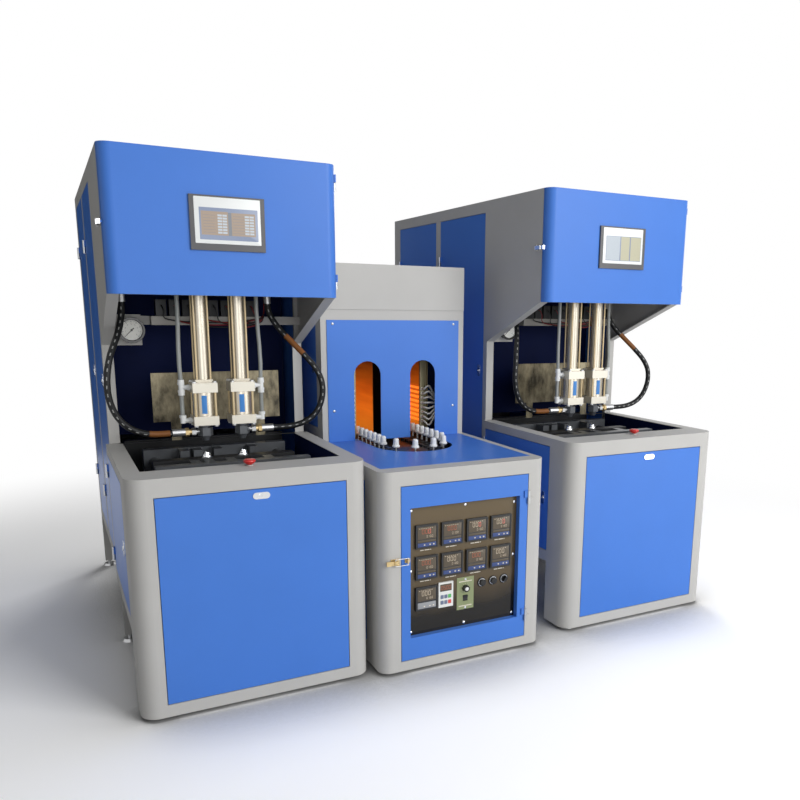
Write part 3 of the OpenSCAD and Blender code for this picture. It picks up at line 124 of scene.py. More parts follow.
def linear(hexa):
    """Linear colour of an sRGB hex value: each channel is divided by 12.92 below 0.04045, or raised to 2.4 above it."""
    srgb = np.array([int(hexa[i:i + 2], 16) for i in (1, 3, 5)]) / 255.0
    low = srgb / 12.92
    high = ((srgb + 0.055) / 1.055) ** 2.4
    return (*np.where(srgb <= 0.04045, low, high), 1.0)


def shades(hexa, *shares):
    """A colour times each share, kept within the range of a colour."""
    base = np.array(linear(hexa)[:3])
    return [(*np.clip(base * share, 0, 1), 1) for share in shares]


def add(tree, kind, links=None, stops=(), **settings):
    """Adds one node with its settings; each link is a value for a socket or another node's output.

    Stops are the places and colours of a colour ramp.
    """
    new = tree.nodes.new(kind)
    for key, value in settings.items():
        setattr(new, key, value)
    for key, value in (links or {}).items():
        if isinstance(value, bpy.types.NodeSocket):
            tree.links.new(value, new.inputs[key])
        else:
            new.inputs[key].default_value = value
    for count, (place, colour) in enumerate(stops):
        ramp = new.color_ramp.elements
        stop = ramp[count] if count < 2 else ramp.new(place)
        stop.position, stop.color = place, colour
    return new


def blank(name):
    """Material without nodes, and its node tree."""
    made = bpy.data.materials.new(name)
    made.use_nodes = True
    made.node_tree.nodes.clear()
    return made, made.node_tree


# Recipes: each gives the values and links of a surface's shader, from the tree and the place on the machine

# Slow drift of a coat's tone, cells of a lit page, and waves of a wave node at scale 1, which turns 20 radians a metre
DRIFT_MM = 180.0
CELL_MM = 1.2
WAVE_MM = 1000.0 * 2 * np.pi / 20.0


def coated(tree, place, hexa, rough, grain_mm, depth_mm, tone, metallic=0.0, edge_mm=0.0, shine=0.5, stretch=(1, 1, 1)):
    """Finish with a fine grain in its bump and a slow drift in its tone.

    Grain is noise whose cell is grain_mm across and depth_mm deep, drift is noise DRIFT_MM across that moves the colour
    and the roughness by the share tone, edge_mm is the radius that eases the edges, shine is the level of the clear
    reflection, and stretch draws the grain out along an axis, as grinding does.
    """
    drawn = add(tree, "ShaderNodeMapping", {"Vector": place, "Scale": stretch}).outputs["Vector"]
    grain = add(tree, "ShaderNodeTexNoise", {"Vector": drawn, "Scale": 1000.0 / grain_mm, "Detail": 2.0}).outputs["Fac"]
    drift = add(tree, "ShaderNodeTexNoise", {"Vector": place, "Scale": 1000.0 / DRIFT_MM, "Detail": 3.0}).outputs["Fac"]
    both = add(tree, "ShaderNodeMath", {0: grain, 1: drift}, operation="ADD").outputs[0]
    mean = add(tree, "ShaderNodeMath", {0: both, 1: 0.5}, operation="MULTIPLY").outputs[0]
    dark, pale = shades(hexa, 1 - tone, 1 + tone)
    ramp = add(tree, "ShaderNodeValToRGB", {"Fac": mean}, ((0.3, dark), (0.7, pale)))
    worn = add(tree, "ShaderNodeMapRange", {"Value": both, "From Min": 0.6, "From Max": 1.4,
                                            "To Min": rough * (1 - 2 * tone), "To Max": rough * (1 + 2 * tone)})
    links = {"Height": grain, "Distance": depth_mm / 1000.0, "Strength": 0.6}
    if edge_mm:
        links["Normal"] = add(tree, "ShaderNodeBevel", {"Radius": edge_mm / 1000.0}, samples=4).outputs["Normal"]
    bump = add(tree, "ShaderNodeBump", links)
    return {"Base Color": ramp.outputs["Color"], "Roughness": worn.outputs["Result"], "Metallic": metallic,
            "Specular IOR Level": shine, "Normal": bump.outputs["Normal"]}


def painted(tree, place, hue, *values):
    """Powder coat in one of the cabinets' main colours."""
    return coated(tree, place, getattr(bpy.context.scene.machine_hues, hue), *values)


def lit(tree, place, hexa, power):
    """Self-lit finish over dark glass: a dim grain of cells, CELL_MM across, keeps it from one flat tone."""
    cells = add(tree, "ShaderNodeTexNoise", {"Vector": place, "Scale": 1000.0 / CELL_MM, "Detail": 1.0})
    ramp = add(tree, "ShaderNodeValToRGB", {"Fac": cells.outputs["Fac"]}, zip((0, 1), shades(hexa, 0.85, 1.1)))
    return {"Base Color": linear("#0c0d0f"), "Roughness": 0.3, "Emission Color": ramp.outputs["Color"],
            "Emission Strength": power}


def rubber_hose(tree, place, sleeve_start, sleeve_end):
    """Moulded hose cover, from its UV: cloth-wrap rings, dust, a dashed pale line and a brown sleeve.

    U is the length along the hose in metres and V the share of the way round. The rings, 3 mm apart on a real hose, are
    drawn 19 mm apart so that they show, and the dust lies in patches 17 mm across. The dashes are 30 mm apart on a
    strip a twentieth of the way round, and the sleeve covers the stretch of U that is given.
    """
    uv = add(tree, "ShaderNodeUVMap", uv_map="length").outputs["UV"]
    rings = add(tree, "ShaderNodeTexWave", {"Vector": uv, "Scale": WAVE_MM / 18.85, "Distortion": 0.4},
                bands_direction="X")
    dust = add(tree, "ShaderNodeTexNoise", {"Vector": place, "Scale": 1000.0 / 16.67, "Detail": 3.0})
    parts = add(tree, "ShaderNodeSeparateXYZ", {"Vector": uv}).outputs

    def band(value, middle, half):
        """1 where the value lies within half of the middle."""
        return add(tree, "ShaderNodeMath", {0: value, 1: middle, 2: half}, operation="COMPARE").outputs[0]

    repeat = add(tree, "ShaderNodeMath", {0: parts["X"], 1: 0.030}, operation="MODULO").outputs[0]
    dash = add(tree, "ShaderNodeMath", {0: band(repeat, 0.009, 0.006), 1: band(parts["Y"], 0.72, 0.026)},
               operation="MULTIPLY").outputs[0]
    sleeve = band(parts["X"], (sleeve_start + sleeve_end) / 2, (sleeve_end - sleeve_start) / 2)
    ramp = add(tree, "ShaderNodeValToRGB", {"Fac": dust.outputs["Fac"]},
               ((0, linear("#0b0c0d")), (1, linear("#1b1c1e"))))
    line = add(tree, "ShaderNodeMix", {"Factor": dash, "A": ramp.outputs["Color"], "B": linear("#8f908e")},
               data_type="RGBA")
    tint = add(tree, "ShaderNodeMix", {"Factor": sleeve, "A": line.outputs["Result"], "B": linear("#7d4f28")},
               data_type="RGBA")
    bump = add(tree, "ShaderNodeBump", {"Height": rings.outputs["Fac"], "Distance": 0.0003, "Strength": 0.5})
    return {"Base Color": tint.outputs["Result"], "Roughness": 0.5, "Specular IOR Level": 0.25,
            "Normal": bump.outputs["Normal"]}


def glowing_quartz(tree, place):
    """Lit quartz tube: yellow along the coiled filament and orange between its turns.

    The turns, about 2 mm apart in a real lamp, are drawn as bands 16 mm apart so that they show.
    """
    coil = add(tree, "ShaderNodeTexWave", {"Vector": place, "Scale": WAVE_MM / 16.008, "Distortion": 0.2},
               bands_direction="Y")
    ramp = add(tree, "ShaderNodeValToRGB", {"Fac": coil.outputs["Fac"]},
               ((0, linear("#d9540c")), (1, linear("#ff9636"))))
    return {"Base Color": ramp.outputs["Color"], "Roughness": 0.15, "Emission Color": ramp.outputs["Color"],
            "Emission Strength": 1.2}


def lamp_lit_reflector(tree, place):
    """Rolled reflector sheet with the lamps' reflected glow painted on as emission: orange beside the lamps, brown
    above them, faint level streaks.

    The painted glow falls with the height, from 0.86 m, under the lowest lamp, to 1.20 m, and streaks 22 mm high bend
    it.
    """
    high = add(tree, "ShaderNodeSeparateXYZ", {"Vector": place}).outputs["Z"]
    drawn = add(tree, "ShaderNodeMapping", {"Vector": place, "Scale": (1, 0.08, 1)}).outputs["Vector"]
    streak = add(tree, "ShaderNodeTexNoise", {"Vector": drawn, "Scale": 1000.0 / 22.0, "Detail": 4.0}).outputs["Fac"]
    warped = add(tree, "ShaderNodeMath", {0: streak, 1: 0.2, 2: high}, operation="MULTIPLY_ADD").outputs[0]
    share = add(tree, "ShaderNodeMapRange", {"Value": warped, "From Min": 0.96, "From Max": 1.3})
    ramp = add(tree, "ShaderNodeValToRGB", {"Fac": share.outputs["Result"]},
               ((0, linear("#f08020")), (1, linear("#3f1a08")), (0.55, linear("#a8500f"))))
    return {"Base Color": linear("#8a5a34"), "Roughness": 0.35, "Metallic": 0.85,
            "Emission Color": ramp.outputs["Color"], "Emission Strength": 0.6}


def splashed_zinc(tree, place):
    """Zinc-plated sheet with dried water marks: a yellow-grey base and dark runs 62.5 mm across."""
    runs = add(tree, "ShaderNodeMapping", {"Vector": place, "Scale": (1, 1, 0.45)}).outputs["Vector"]
    noise = add(tree, "ShaderNodeTexNoise", {"Vector": runs, "Scale": 1000.0 / 62.5, "Detail": 6.0, "Roughness": 0.65})
    marks = noise.outputs["Fac"]
    ramp = add(tree, "ShaderNodeValToRGB", {"Fac": marks}, ((0.36, linear("#3d3930")), (0.62, linear("#8d846d"))))
    rough = add(tree, "ShaderNodeMapRange", {"Value": marks, "To Min": 0.55, "To Max": 0.3})
    return {"Base Color": ramp.outputs["Color"], "Roughness": rough.outputs["Result"], "Metallic": 0.8}


def bronze_acrylic(tree, place):
    """Black acrylic fascia with a painted reflection: gloss over brown that stands for reflected light, nearly black
    towards its lower edge.

    The painted reflection darkens between 0.34 m and 0.22 m above the floor, along a line that clouds 220 mm across
    bend.
    """
    high = add(tree, "ShaderNodeSeparateXYZ", {"Vector": place}).outputs["Z"]
    cloud = add(tree, "ShaderNodeTexNoise", {"Vector": place, "Scale": 1000.0 / 220.0, "Detail": 2.0}).outputs["Fac"]
    bent = add(tree, "ShaderNodeMath", {0: cloud, 1: 0.1, 2: high}, operation="MULTIPLY_ADD").outputs[0]
    share = add(tree, "ShaderNodeMapRange", {"Value": bent, "From Min": 0.27, "From Max": 0.76})
    ramp = add(tree, "ShaderNodeValToRGB", {"Fac": share.outputs["Result"]},
               ((0, linear("#17140f")), (1, linear("#67583f")), (0.24, linear("#574a35"))))
    return {"Base Color": ramp.outputs["Color"], "Roughness": 0.12, "Specular IOR Level": 0.35}


# Each finish: what the real one is, and what that gives the eye. A coat has its colour, roughness, grain and its depth
# in millimetres and tone drift, and after those its metallic share, eased edge in millimetres, shine and stretch
RECIPES = {
    # polyester powder coat on folded steel: fine orange peel, soft sheen, eased edges
    "blue_powder_coat": (painted, "blue", 0.36, 1.6, 0.03, 0.04, 0, 1.5, 0.25),
    # the coat inside the hoods is the blue coat drawn darker, as painted shade
    "blue_coat_painted_shade": (painted, "navy", 0.55, 1.6, 0.05, 0.06, 0, 0, 0.08),
    "grey_powder_coat": (painted, "grey", 0.55, 1.2, 0.08, 0.04, 0, 1.5, 0.2),
    # black oxide and satin enamel on machined plates: soft, slightly uneven
    "black_oxide_steel": (coated, "#232426", 0.42, 2.0, 0.04, 0.15, 0.4, 0.8),
    "dark_tool_steel": (coated, "#595c60", 0.36, 1.5, 0.03, 0.15, 0.35, 0.8),
    # clear anodised end caps and drawn tube: pale and silky; sand-cast manifold: grey and coarser
    "anodised_aluminium": (coated, "#d8d3c6", 0.38, 0.8, 0.02, 0.05, 0.35, 0.8),
    "drawn_aluminium_tube": (coated, "#c4bdae", 0.26, 1.0, 0.02, 0.05, 0.7, 0, 0.5, (1, 1, 0.03)),
    "cast_aluminium": (coated, "#8f8d88", 0.5, 2.2, 0.06, 0.1, 0.3, 0.8),
    # bright chromium plate: mirror with faint haze
    "chromium_plate": (coated, "#d9dbdd", 0.12, 4.0, 0.01, 0.04, 1.0),
    # yellow and clear passivated zinc plate: satin, patchy tint
    "yellow_zinc_plate": (coated, "#cdb584", 0.32, 3.0, 0.02, 0.12, 0.7),
    "tie_rod_zinc": (coated, "#b7a582", 0.36, 3.0, 0.02, 0.1, 0.6),
    "zinc_plate": (coated, "#b9babb", 0.34, 3.0, 0.02, 0.1, 0.9),
    "heat_stained_zinc": (coated, "#8f8668", 0.45, 3.0, 0.03, 0.15, 0.4),
    # moulded ABS and nylon: even, faint texture
    "black_abs": (coated, "#191a1c", 0.4, 0.9, 0.04, 0.12, 0, 0.8),
    "gloss_black_abs": (coated, "#101113", 0.16, 2.0, 0.01, 0.12),
    "white_nylon": (coated, "#e4e6e6", 0.4, 1.0, 0.03, 0.04),
    "white_abs": (coated, "#dfe0dd", 0.42, 1.0, 0.03, 0.04),
    "grey_polyurethane_tube": (coated, "#8d918f", 0.3, 2.0, 0.02, 0.08),
    "red_abs": (coated, "#c8231f", 0.3, 1.0, 0.02, 0.08),
    # membrane keys: matt, slightly raised
    "green_key": (coated, "#4fae5c", 0.45, 1.0, 0.02, 0.06),
    "red_key": (coated, "#cf4a44", 0.45, 1.0, 0.02, 0.06),
    "grey_key": (coated, "#66718a", 0.45, 1.0, 0.02, 0.06),
    # smoked window and printed strips of the controllers: gloss and satin film
    "meter_window": (coated, "#554b3c", 0.2, 3.0, 0.01, 0.1),
    "meter_blue_strip": (coated, "#34477a", 0.35, 1.0, 0.02, 0.06),
    "meter_pale_strip": (coated, "#949699", 0.35, 1.0, 0.02, 0.06),
    # dyed anodised plate: satin green
    "green_anodised_plate": (coated, "#88916a", 0.4, 1.0, 0.02, 0.06, 0.3),
    # printed ink and film labels: flat, matt
    "fascia_print": (coated, "#d9d2c2", 0.5, 1.0, 0.01, 0.06),
    "blue_label": (coated, "#2f80cc", 0.4, 2.0, 0.01, 0.05),
    "dial_enamel": (coated, "#efefe9", 0.4, 2.0, 0.01, 0.03),
    "dial_print": (coated, "#1b1b1b", 0.5, 1.0, 0.01, 0.1),
    # sintered ceramic and glass-braid leads of the lamps: chalky, and silvery with a fine weave
    "alumina_ceramic": (coated, "#d8d3c6", 0.55, 1.2, 0.03, 0.05),
    "braided_lead": (coated, "#c6c5c0", 0.4, 1.8, 0.2, 0.3, 0.4),
    # single-core wiring in the hood: satin insulation
    "red_wire": (coated, "#7c1f22", 0.4, 2.0, 0.02, 0.1),
    "black_wire": (coated, "#17181a", 0.4, 2.0, 0.02, 0.1),
    # touch screen: dark moulded bezel, white printed border, page lit from behind
    "screen_bezel": (coated, "#47474a", 0.32, 0.9, 0.03, 0.08, 0, 0.8),
    "screen_border": (coated, "#e6e9e8", 0.3, 2.0, 0.01, 0.02),
    "screen_ground": (lit, "#8f9dba", 0.85),
    "screen_gap": (lit, "#858b93", 0.85),
    "screen_table": (lit, "#b09c8a", 0.85),
    "screen_row": (lit, "#c9d3dc", 0.9),
    "screen_cream": (lit, "#cdc9aa", 0.9),
    # light-emitting figures behind the controllers' windows: small and even
    "meter_red": (lit, "#ff7a66", 1.0),
    "meter_white": (lit, "#ecd9bd", 0.75),
    "meter_amber": (lit, "#d0693f", 0.7),
    # pieces with a recipe of their own, and where along a hose its sleeve lies, in metres
    "low_sleeve_hose": (rubber_hose, 0.008, 0.085),
    "high_sleeve_hose": (rubber_hose, 0.470, 0.575),
    "glowing_quartz": (glowing_quartz,),
    "lamp_lit_reflector": (lamp_lit_reflector,),
    "splashed_zinc": (splashed_zinc,),
    "bronze_acrylic": (bronze_acrylic,),
}
FINISHES = {}


def finish(name):
    """One of the machine's finishes, made once."""
    if name not in FINISHES:
        FINISHES[name], tree = blank(name)
        recipe, *values = RECIPES[name]
        place = add(tree, "ShaderNodeTexCoord").outputs["Object"]
        skin = add(tree, "ShaderNodeBsdfPrincipled", recipe(tree, place, *values))
        add(tree, "ShaderNodeOutputMaterial", {"Surface": skin.outputs["BSDF"]})
    return FINISHES[name]


# Shapes as grids of points

def quads(nu, nv, close_v):
    """Quads of a grid of nu by nv points, as index rows; the second direction may close on itself."""
    i, j = np.meshgrid(np.arange(nu - 1), np.arange(nv if close_v else nv - 1), indexing="ij")
    k = (j + 1) % nv
    return np.stack([i * nv + j, i * nv + k, (i + 1) * nv + k, (i + 1) * nv + j], -1).reshape(-1, 4)


class Form:
    """Grids of points in millimetres gathered for one piece, each with its finish."""

    def __init__(self):
        self.points, self.faces, self.slots, self.names = [], [], [], []
        self.count = 0

    def put(self, points, faces, name, lids=()):
        """Adds points, rows of the points round each face, and the rings of points that each lid closes."""
        if name not in self.names:
            self.names.append(name)
        added = (faces + self.count).tolist() + [(lid + self.count).tolist() for lid in lids]
        self.points.append(points)
        self.faces += added
        self.slots += [self.names.index(name)] * len(added)
        self.count += len(points)

    def slab(self, outline, profile, at, axes, name, lid=True):
        """Outline P with outward normals N carried up a profile of (offset d, height h): P + d N, h along the axis.

        The last ring is closed by a face where lid is true.
        """
        points, normals = outline
        profile = np.asarray(profile, float)
        flat = points[None] + profile[:, None, :1] * normals[None]
        high = np.broadcast_to(profile[:, None, 1:], (*flat.shape[:2], 1))
        grid = np.concatenate([flat, high], -1) @ axes + np.asarray(at, float)
        nu, nv = grid.shape[:2]
        lids = [np.arange((nu - 1) * nv, nu * nv)] if lid else []
        self.put(grid.reshape(-1, 3), quads(nu, nv, True), name, lids)

    def tube(self, path, radius, sides, name):
        """Ring of points round each point of the path, square to its direction: p + r (a cos t + b sin t)."""
        ring = ring_points(path, radius, sides)
        nu, nv = ring.shape[:2]
        ends = [np.arange(nv)[::-1], np.arange((nu - 1) * nv, nu * nv)]
        self.put(ring.reshape(-1, 3), quads(nu, nv, True), name, ends)

    def flat(self, loops, at, axes, name):
        """Flat faces, one for each loop of points in the plane of the axes."""
        size = len(loops[0])
        plane = np.concatenate([np.asarray(loop, float) for loop in loops])
        points = np.column_stack([plane, np.zeros(len(plane))]) @ axes + np.asarray(at, float)
        self.put(points, np.arange(len(points)).reshape(-1, size), name)

    def make(self, name, body, smooth=True):
        """The piece itself, in metres at the origin, riding on a body of the machine where one is given."""
        mesh = bpy.data.meshes.new(name)
        mesh.from_pydata((np.concatenate(self.points) / 1000.0).tolist(), [], self.faces)
        mesh.polygons.foreach_set("material_index", self.slots)
        mesh.polygons.foreach_set("use_smooth", [smooth] * len(self.faces))
        for used in self.names:
            mesh.materials.append(finish(used))
        if smooth:
            mesh.set_sharp_from_angle(angle=np.radians(35))
        piece = bpy.data.objects.new(name, mesh)
        bpy.context.collection.objects.link(piece)
        if body:
            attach(piece, body)
        return piece


def ring_points(path, radius, sides):
    """Rings of a tube, with b = t x a and a square to the path's direction t."""
    path = np.asarray(path, float)
    t = np.gradient(path, axis=0)
    t /= np.linalg.norm(t, axis=1, keepdims=True)
    a = np.cross([0.0, 1.0, 0.0], t)
    a /= np.linalg.norm(a, axis=1, keepdims=True)
    b = np.cross(t, a)
    turn = np.linspace(0, 2 * np.pi, sides, endpoint=False)[None, :, None]
    radius = np.broadcast_to(np.asarray(radius, float), (len(path),))[:, None, None]
    return path[:, None] + radius * (np.cos(turn) * a[:, None] + np.sin(turn) * b[:, None])


def circle(radius, sides=24, start=0.0):
    """Circle and its outward normals."""
    turn = np.linspace(0, 2 * np.pi, sides, endpoint=False) + start
    normals = np.column_stack([np.cos(turn), np.sin(turn)])
    return radius * normals, normals


def rounded(width, height, radius, steps=5):
    """Rectangle with rounded corners and its outward normals: a corner's centre plus radius times the normal."""
    turn = np.linspace(0, np.pi / 2, steps)[None, :] + np.pi / 2 * np.arange(4)[:, None]
    normals = np.stack([np.cos(turn), np.sin(turn)], -1)
    signs = np.array([[1, 1], [-1, 1], [-1, -1], [1, -1]], float)
    centres = signs * (np.array([width, height]) / 2 - radius)
    return (centres[:, None] + radius * normals).reshape(-1, 2), normals.reshape(-1, 2)


def eased(height, edge, low=0.0):
    """Profile of a plate with an eased upper edge: straight up, then a quarter turn inwards."""
    turn = np.linspace(0, np.pi / 2, 4)
    return [(0, low), *zip(edge * (np.cos(turn) - 1), height - edge + edge * np.sin(turn))]


def smooth_path(points, steps=12):
    """Curve through every point: on each span the cubic whose end slopes are half the step between the neighbours."""
    p = np.asarray(points, float)
    p = np.concatenate([[2 * p[0] - p[1]], p, [2 * p[-1] - p[-2]]])
    u = np.linspace(0, 1, steps, endpoint=False)[None, :, None]
    a, b, c, d = (p[k:len(p) - 3 + k, None] for k in range(4))
    curve = 0.5 * (2 * b + (c - a) * u + (2 * a - 5 * b + 4 * c - d) * u**2 + (3 * b - a - 3 * c + d) * u**3)
    return np.concatenate([curve.reshape(-1, 3), p[-2:-1]])


# Bars of a seven-bar figure: centre across and up in units of its height, and whether the bar stands upright
BARS = np.array([[0.25, 1, 0], [0.5, 0.75, 1], [0.5, 0.25, 1], [0.25, 0, 0], [0, 0.25, 1], [0, 0.75, 1],
                 [0.25, 0.5, 0]])
# Bars that each figure from 0 to 9 lights
FIGURES = ([0, 1, 2, 3, 4, 5], [1, 2], [0, 1, 6, 4, 3], [0, 1, 6, 2, 3], [5, 6, 1, 2], [0, 5, 6, 2, 3],
           [0, 5, 6, 4, 2, 3], [0, 1, 2], [0, 1, 2, 3, 4, 5, 6], [0, 1, 2, 3, 5, 6])


def figures(text, height, pitch):
    """Six-sided bars of each figure, the text centred on the origin."""
    bar = np.array([[-0.2, -0.05], [0.2, -0.05], [0.24, 0], [0.2, 0.05], [-0.2, 0.05], [-0.24, 0]])
    upright = bar[:, ::-1] * [-1, 1]
    left = -pitch * (len(text) - 1) / 2 - 0.25 * height
    loops = []
    for place, figure in enumerate(text):
        for cx, cy, stands in BARS[FIGURES[int(figure)]]:
            loops.append(((upright if stands else bar) + [cx, cy - 0.5]) * height + [left + place * pitch, 0])
    return loops


def box_loop(x0, z0, x1, z1):
    """Corners of a rectangle, counter-clockwise."""
    return [(x0, z0), (x1, z0), (x1, z1), (x0, z1)]


def ticks(angles, inner, outer, half):
    """Marks of a dial, each a rectangle from the inner to the outer radius, turned from straight up by its angle."""
    turn = np.radians(angles)[:, None]
    across, up = np.array([-half, half, half, -half]), np.array([inner, inner, outer, outer])
    return np.stack([across * np.cos(turn) + up * np.sin(turn), up * np.cos(turn) - across * np.sin(turn)], -1)


# Finishes of the solid parts

def dress(node, name, *zones):
    """Gives a solid its finish, and another one to the faces whose centres, in millimetres, pass a zone's test."""
    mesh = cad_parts[node].data
    mesh.materials.clear()
    mesh.materials.append(finish(name))
    centres = np.empty(len(mesh.polygons) * 3, np.float32)
    mesh.polygons.foreach_get("center", centres)
    centres = centres.reshape(-1, 3) * 1000.0
    index = np.zeros(len(mesh.polygons), np.int32)
    for other, test in zones:
        mesh.materials.append(finish(other))
        index[test(centres)] = len(mesh.materials) - 1
    mesh.polygons.foreach_set("material_index", index)


def inside(low, high, origin):
    """Test for centres in a box, given in a cabinet's own millimetres."""
    low, high = np.asarray(low, float) + origin, np.asarray(high, float) + origin
    return lambda c: np.all((c > low) & (c < high), axis=1)


def in_units(low, high):
    """Test for centres in a box of either blow cabinet."""
    return either(*[inside(low, high, origin) for origin in UNITS.values()])


def near(origin, places, radius, low, high):
    """Test for centres within a radius of upright axes, between two heights."""
    places = np.asarray(places, float) + origin[:2]
    return lambda c: (np.min(np.linalg.norm(c[:, None, :2] - places[None], axis=2), axis=1) < radius) & (
        c[:, 2] > low) & (c[:, 2] < high)


def either(*tests):
    """Test that passes where any of the tests does."""
    return lambda c: np.any([test(c) for test in tests], axis=0)


class MachineHues(bpy.types.PropertyGroup):
    """Main colours of the cabinets"""

    blue: bpy.props.StringProperty(name="Blue", description="Powder coat of the doors and panels, as a hex colour",
                                   default="#467ad0")
    # inside the hoods the blue coat is drawn darker: painted shade
    navy: bpy.props.StringProperty(name="Navy", description="Powder coat inside the hoods, as a hex colour",
                                   default="#0b1740")
    grey: bpy.props.StringProperty(name="Grey", description="Powder coat of the cabinets, as a hex colour",
                                   default="#bab9b6")


class MachineSizes(bpy.types.PropertyGroup):
    """Sizes of the fittings that a user would change"""

    hose: bpy.props.FloatProperty(name="Hose", description="Outer diameter of the high-pressure hoses", default=0.024,
                                  unit="LENGTH")
    screw: bpy.props.FloatProperty(name="Screw head", description="Diameter of the panel screws' heads", default=0.012,
                                   unit="LENGTH")
    lens: bpy.props.FloatProperty(name="Lens", description="Focal length of the camera", default=34.875, unit="CAMERA")


class MACHINE_OT_stage(bpy.types.Operator):
    """Camera at the photograph's angle, pale floor and soft studio light"""

    bl_idname = "machine.stage"
    bl_label = "Stage"

    def execute(self, context):
        scene = context.scene
        scene.view_settings.view_transform = "Standard"
        yaw, pitch, roll = CAMERA_TURN
        ahead = np.array([np.sin(yaw) * np.cos(pitch), np.cos(yaw) * np.cos(pitch), -np.sin(pitch)])
        right = np.array([np.cos(yaw), -np.sin(yaw), 0.0])
        up = np.cross(right, ahead)
        across = np.cos(roll) * right + np.sin(roll) * up
        upright = np.cos(roll) * up - np.sin(roll) * right
        data = bpy.data.cameras.new("camera")
        data.lens = scene.machine_sizes.lens
        data.shift_x, data.shift_y = CAMERA_SHIFT
        data.clip_end = 60.0
        camera = bpy.data.objects.new("camera", data)
        axes = np.column_stack([across, upright, -ahead, CAMERA_AT / 1000.0])
        camera.matrix_world = Matrix([*axes.tolist(), [0, 0, 0, 1]])
        scene.collection.objects.link(camera)
        scene.camera = camera
        self.floor(scene)
        self.flag(scene)
        self.lights(scene)
        return {"FINISHED"}

    def sheet(self, scene, name, corners, made):
        """Flat four-cornered sheet of the studio."""
        mesh = bpy.data.meshes.new(name)
        mesh.from_pydata(corners, [], [[0, 1, 2, 3]])
        mesh.materials.append(made)
        sheet = bpy.data.objects.new(name, mesh)
        scene.collection.objects.link(sheet)
        return sheet

    def floor(self, scene):
        """Flat square, white to the camera where it is lit, grey in the machine's shadow, and plain white far away.

        Its tone falls with the share of the sky that the machine hides within half a metre, for the shadow at its foot.
        """
        made, tree = blank("pale_floor")
        half = 14.0
        corners = [(-half, -half, 0), (half, -half, 0), (half, half, 0), (-half, half, 0)]
        floor = self.sheet(scene, "floor", corners, made)
        place = add(tree, "ShaderNodeTexCoord").outputs["Object"]
        away = add(tree, "ShaderNodeVectorMath", {0: place}, operation="LENGTH").outputs["Value"]
        far = add(tree, "ShaderNodeMapRange", {"Value": away, "From Min": 2.2, "From Max": 4.2},
                  interpolation_type="SMOOTHSTEP").outputs["Result"]
        open_sky = add(tree, "ShaderNodeAmbientOcclusion", {"Distance": 0.5}, samples=8).outputs["AO"]
        tone = add(tree, "ShaderNodeMapRange", {"Value": open_sky, "From Min": 0.45, "From Max": 0.92, "To Min": 0.35,
                                                "To Max": 1.35}).outputs["Result"]
        matt = add(tree, "ShaderNodeBsdfDiffuse", {"Color": tone})
        white = add(tree, "ShaderNodeEmission", {"Color": (1, 1, 1, 1), "Strength": 1.0})
        faded = add(tree, "ShaderNodeMixShader", {0: far, 1: matt.outputs[0], 2: white.outputs[0]})
        plain = add(tree, "ShaderNodeBsdfDiffuse", {"Color": (0.7, 0.7, 0.7, 1)})
        mixed = add(tree, "ShaderNodeMixShader", {0: self.seen(tree), 1: plain.outputs[0], 2: faded.outputs[0]})
        add(tree, "ShaderNodeOutputMaterial", {"Surface": mixed.outputs[0]})

    def flag(self, scene):
        """Upright black cloth behind the left cabinet, out of the camera's sight, that the left sides mirror."""
        made, tree = blank("black_cloth")
        cloth = add(tree, "ShaderNodeBsdfDiffuse", {"Color": (0.02, 0.02, 0.02, 1)})
        add(tree, "ShaderNodeOutputMaterial", {"Surface": cloth.outputs[0]})
        flag = self.sheet(scene, "flag", [(-8, 4.5, 0), (-0.4, 4.5, 0), (-0.4, 4.5, 4), (-8, 4.5, 4)], made)
        flag.visible_camera = flag.visible_shadow = False

    def seen(self, tree):
        """1 on rays that show the background: the camera's, and those off metal and through glass."""
        path = add(tree, "ShaderNodeLightPath").outputs
        direct = add(tree, "ShaderNodeMath", {0: path["Is Camera Ray"], 1: path["Is Glossy Ray"]}, operation="MAXIMUM")
        return add(tree, "ShaderNodeMath", {0: direct.outputs[0], 1: path["Is Transmission Ray"]},
                   operation="MAXIMUM").outputs[0]

    def lights(self, scene):
        """Large soft lamps to the front, above and behind, and an even white world."""
        for name, (place, size, turn, watts) in LAMPS.items():
            lamp = bpy.data.lights.new(name, "AREA")
            lamp.size = size
            lamp.energy = watts
            thing = bpy.data.objects.new(name, lamp)
            thing.location, thing.rotation_euler = place, np.radians(turn)
            thing.visible_camera = False
            scene.collection.objects.link(thing)
        world = bpy.data.worlds.new("studio")
        scene.world = world
        world.use_nodes = True
        tree = world.node_tree
        tree.nodes.clear()
        strength = add(tree, "ShaderNodeMapRange", {"Value": self.seen(tree), "To Min": 0.2, "To Max": 1.0})
        sky = add(tree, "ShaderNodeBackground", {"Color": (1, 1, 1, 1), "Strength": strength.outputs["Result"]})
        add(tree, "ShaderNodeOutputWorld", {"Surface": sky.outputs[0]})


# Routes of the high-pressure hoses in a blow cabinet's own millimetres, from the nozzle up into the hood
HOSES = {
    "hose_outer": [(223, 500, 941), (188, 500, 940), (148, 499, 942), (108, 496, 951), (70, 491, 972), (38, 486, 1005),
                   (16, 481, 1050), (5, 477, 1102), (5, 477, 1152), (11, 484, 1196), (24, 504, 1242), (44, 534, 1287),
                   (63, 566, 1329), (76, 592, 1370), (82.5, 606, 1407), (84, 610, 1440)],
    "hose_inner": [(617, 500, 941), (655, 500, 941), (700, 498, 944), (742, 494, 955), (778, 489, 976),
                   (805, 484, 1008), (821, 479, 1050), (826, 477, 1096), (819, 481, 1142), (797, 497, 1190),
                   (760, 524, 1240), (719, 555, 1290), (681, 583, 1337), (656, 601, 1379), (644, 609, 1411),
                   (640, 610, 1440)],
}
SLEEVES = {"hose_outer": "low_sleeve_hose", "hose_inner": "high_sleeve_hose"}
HOSE_SIDES = 20


